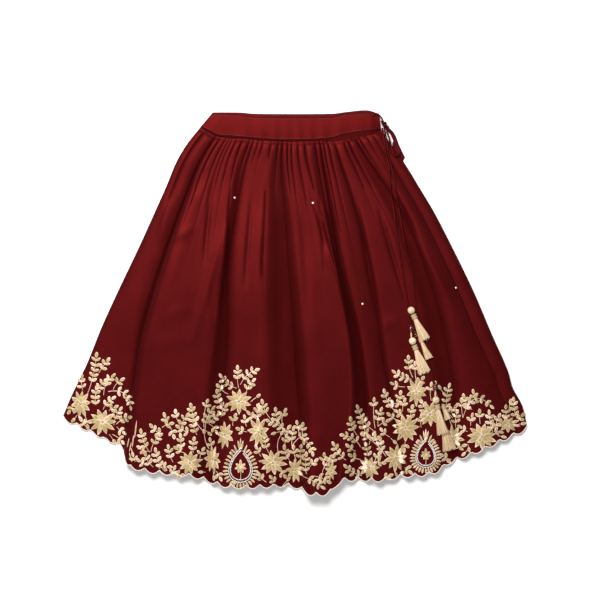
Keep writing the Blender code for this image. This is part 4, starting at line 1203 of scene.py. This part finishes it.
COLLAR_WALL = (0.7, 0.5)  # how much narrower and thinner the threads are than their collar
THREADS = 170            # drawn in each tassel, of about 0.8 mm
THREAD_RADIUS = 0.42
END_THICK = 3.0
STRAYS = 4               # threads that stick out of the cut end


def tassel_thread(name):
    """Loose viscose floss: soft, pale and shining. Its colour runs from a warm dark to cream by the
    thread tone, which holds painted shade on the lower threads and painted light on the upper ones.
    """
    fibre = 0.0009
    material, tree, shader = new_finish(name, Roughness=0.48, Sheen_Weight=0.35,
                                        Sheen_Tint=linear("FFF3DA"))
    tone = add_node(tree, "Attribute", attribute_name="thread_tone_and_painted_light").outputs["Fac"]
    ramp = add_node(tree, "ValToRGB", {"Fac": tone})
    ramp.color_ramp.elements[0].color = linear("9C7A53")
    ramp.color_ramp.elements[1].color = linear("EAD5B8")
    middle = ramp.color_ramp.elements.new(0.5)
    middle.color = linear("C7AB84")
    tree.links.new(ramp.outputs[0], shader.inputs["Base Color"])
    place = add_node(tree, "TexCoord").outputs["Object"]
    fibres = add_node(tree, "TexNoise", {"Vector": place, "Scale": 1 / fibre, "Detail": 2.0})
    bump = add_node(tree, "Bump", {"Height": fibres.outputs[0], "Strength": 0.25, "Distance": 0.0002})
    tree.links.new(bump.outputs[0], shader.inputs["Normal"])
    return material


def lay_tassel(row, material):
    """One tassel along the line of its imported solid: ball, collar rings, loop and loose threads."""
    points = solid_points(row.name)
    head = np.array((row.head_x, row.head_y))
    run = np.array((row.end_x, row.end_y)) - head
    length = np.hypot(*run)
    along = np.array((*(run / length), 0))
    aside = np.array((-along[1], along[0], 0))
    up = np.array((0, 0, 1))
    places = (points[:, :2] - head) @ along[:2]
    sizes = BALL_HEAD if row.ball else PLAIN_HEAD
    at_head = points[(places > -4) & (places < 4)] if row.ball else points[places < 6]
    head_z = resting(*head, (at_head[:, 2].min() + at_head[:, 2].max()) / 2, sizes.clear)
    end_z = points[places > 0.9 * length][:, 2].mean()
    slope = (resting(row.end_x, row.end_y, end_z, END_THICK * 0.8) - head_z) / length

    def put(place, across, lift):
        place, across, lift = np.broadcast_arrays(place, across, lift)
        line = np.array((*head, head_z)) + place[..., None] * (along + slope * up)
        return line + across[..., None] * aside + lift[..., None] * up

    shapes = []
    tones = []
    if row.ball:
        corners, faces = smooth_ball
        angle = np.arctan2(corners[:, 1], corners[:, 0])
        wound = 1 + 0.05 * np.abs(np.sin(10 * angle))
        ball = put(corners[:, 2] * BALL_LONG - 0.2, corners[:, 0] * BALL_RADIUS * wound,
                   corners[:, 1] * BALL_RADIUS * wound)
        shapes.append((ball, faces))
        # The wound ball's raised bands of thread are painted lighter, as highlights.
        tones.append(row.tone + 0.3 * np.abs(np.sin(10 * angle)))
    corners, faces = wound_ring
    for ring in range(sizes.rings):
        place = sizes.root + (sizes.collar_end - sizes.root - 1.2) * ring / (sizes.rings - 1)
        size = 1.08 if ring in (0, sizes.rings - 1) else 1.0
        shapes.append((put(place + corners[:, 2] * COLLAR_THREAD, corners[:, 0] * sizes.wide * size,
                           corners[:, 1] * sizes.thick * size), faces))
        tones.append(np.full(len(corners), 0.25 + 0.12 * (ring % 2)))
    wide = sizes.wide - COLLAR_WALL[0]
    thick = sizes.thick - COLLAR_WALL[1]
    stations = (sizes.root, sizes.collar_end, length)
    golden = math.pi * (3 - math.sqrt(5))
    for thread in range(THREADS + STRAYS):
        stray = thread >= THREADS
        radius = math.sqrt((thread + 0.5) / THREADS) if not stray else 0.9
        angle = golden * thread
        u, v = radius * math.cos(angle), radius * math.sin(angle)
        end = length * (1 - 0.06 * pick.random() + (0.05 if stray else 0))
        share = np.linspace(0, 1, 8)
        place = sizes.root + (end - sizes.root) * share
        spread = np.interp(place, stations, (0.8, 1.0, row.spread / 2 / wide))
        spread_up = np.interp(place, stations, (0.8, 1.0, END_THICK / thick))
        wave = 0.5 * np.sin(share * 5 + 6.28 * pick.random()) * share + (
            pick.uniform(-5, 5) * share ** 3 if stray else 0)
        across = u * wide * spread + wave + pick.uniform(-0.7, 0.7) * share ** 2
        lift = v * thick * spread_up + 0.25 * np.sin(share * 7 + 6.28 * pick.random()) * share
        line = put(place, across, lift)
        line[:, 2] = [resting(*point, THREAD_RADIUS * 0.5) for point in line]
        taper = np.interp(share, (0, 0.2, 1), (0.8, 1, 0.9))[:, None]
        shapes.append(tube(line, THREAD_RADIUS * taper, 4))
        # Each thread's tone: the tassel's own, lighter as painted light for threads higher in the
        # bundle and darker as painted shade for lower ones, and a random part.
        tone = np.clip(row.tone + 0.25 * v + pick.uniform(-0.28, 0.28), 0, 1)
        tones.append(np.full(len(line) * 4, tone))
    if row.hangs_from:
        bead = bead_middles[row.hangs_from]
        top = put(-BALL_TOP, 0, 0)
        to_ball = (top - bead) / np.linalg.norm(top - bead)
        start = bead + to_ball * (BEAD_HALF_LENGTH + 0.2)
        for hand in (-0.7, 0.7):
            line = np.array([start, (start + top) / 2 + hand * aside, top + to_ball * 1.5])
            shapes.append(tube(curve_through(line, 1.5), 0.7, 6))
            tones.append(np.full(len(shapes[-1][0]), 0.5))
    piece = joined(row.name + "_threads", shapes, material, tones)
    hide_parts(row.name)
    return piece


viscose = tassel_thread("cream_viscose_floss")
tassels = {row.name: lay_tassel(row, viscose) for row in TASSELS}
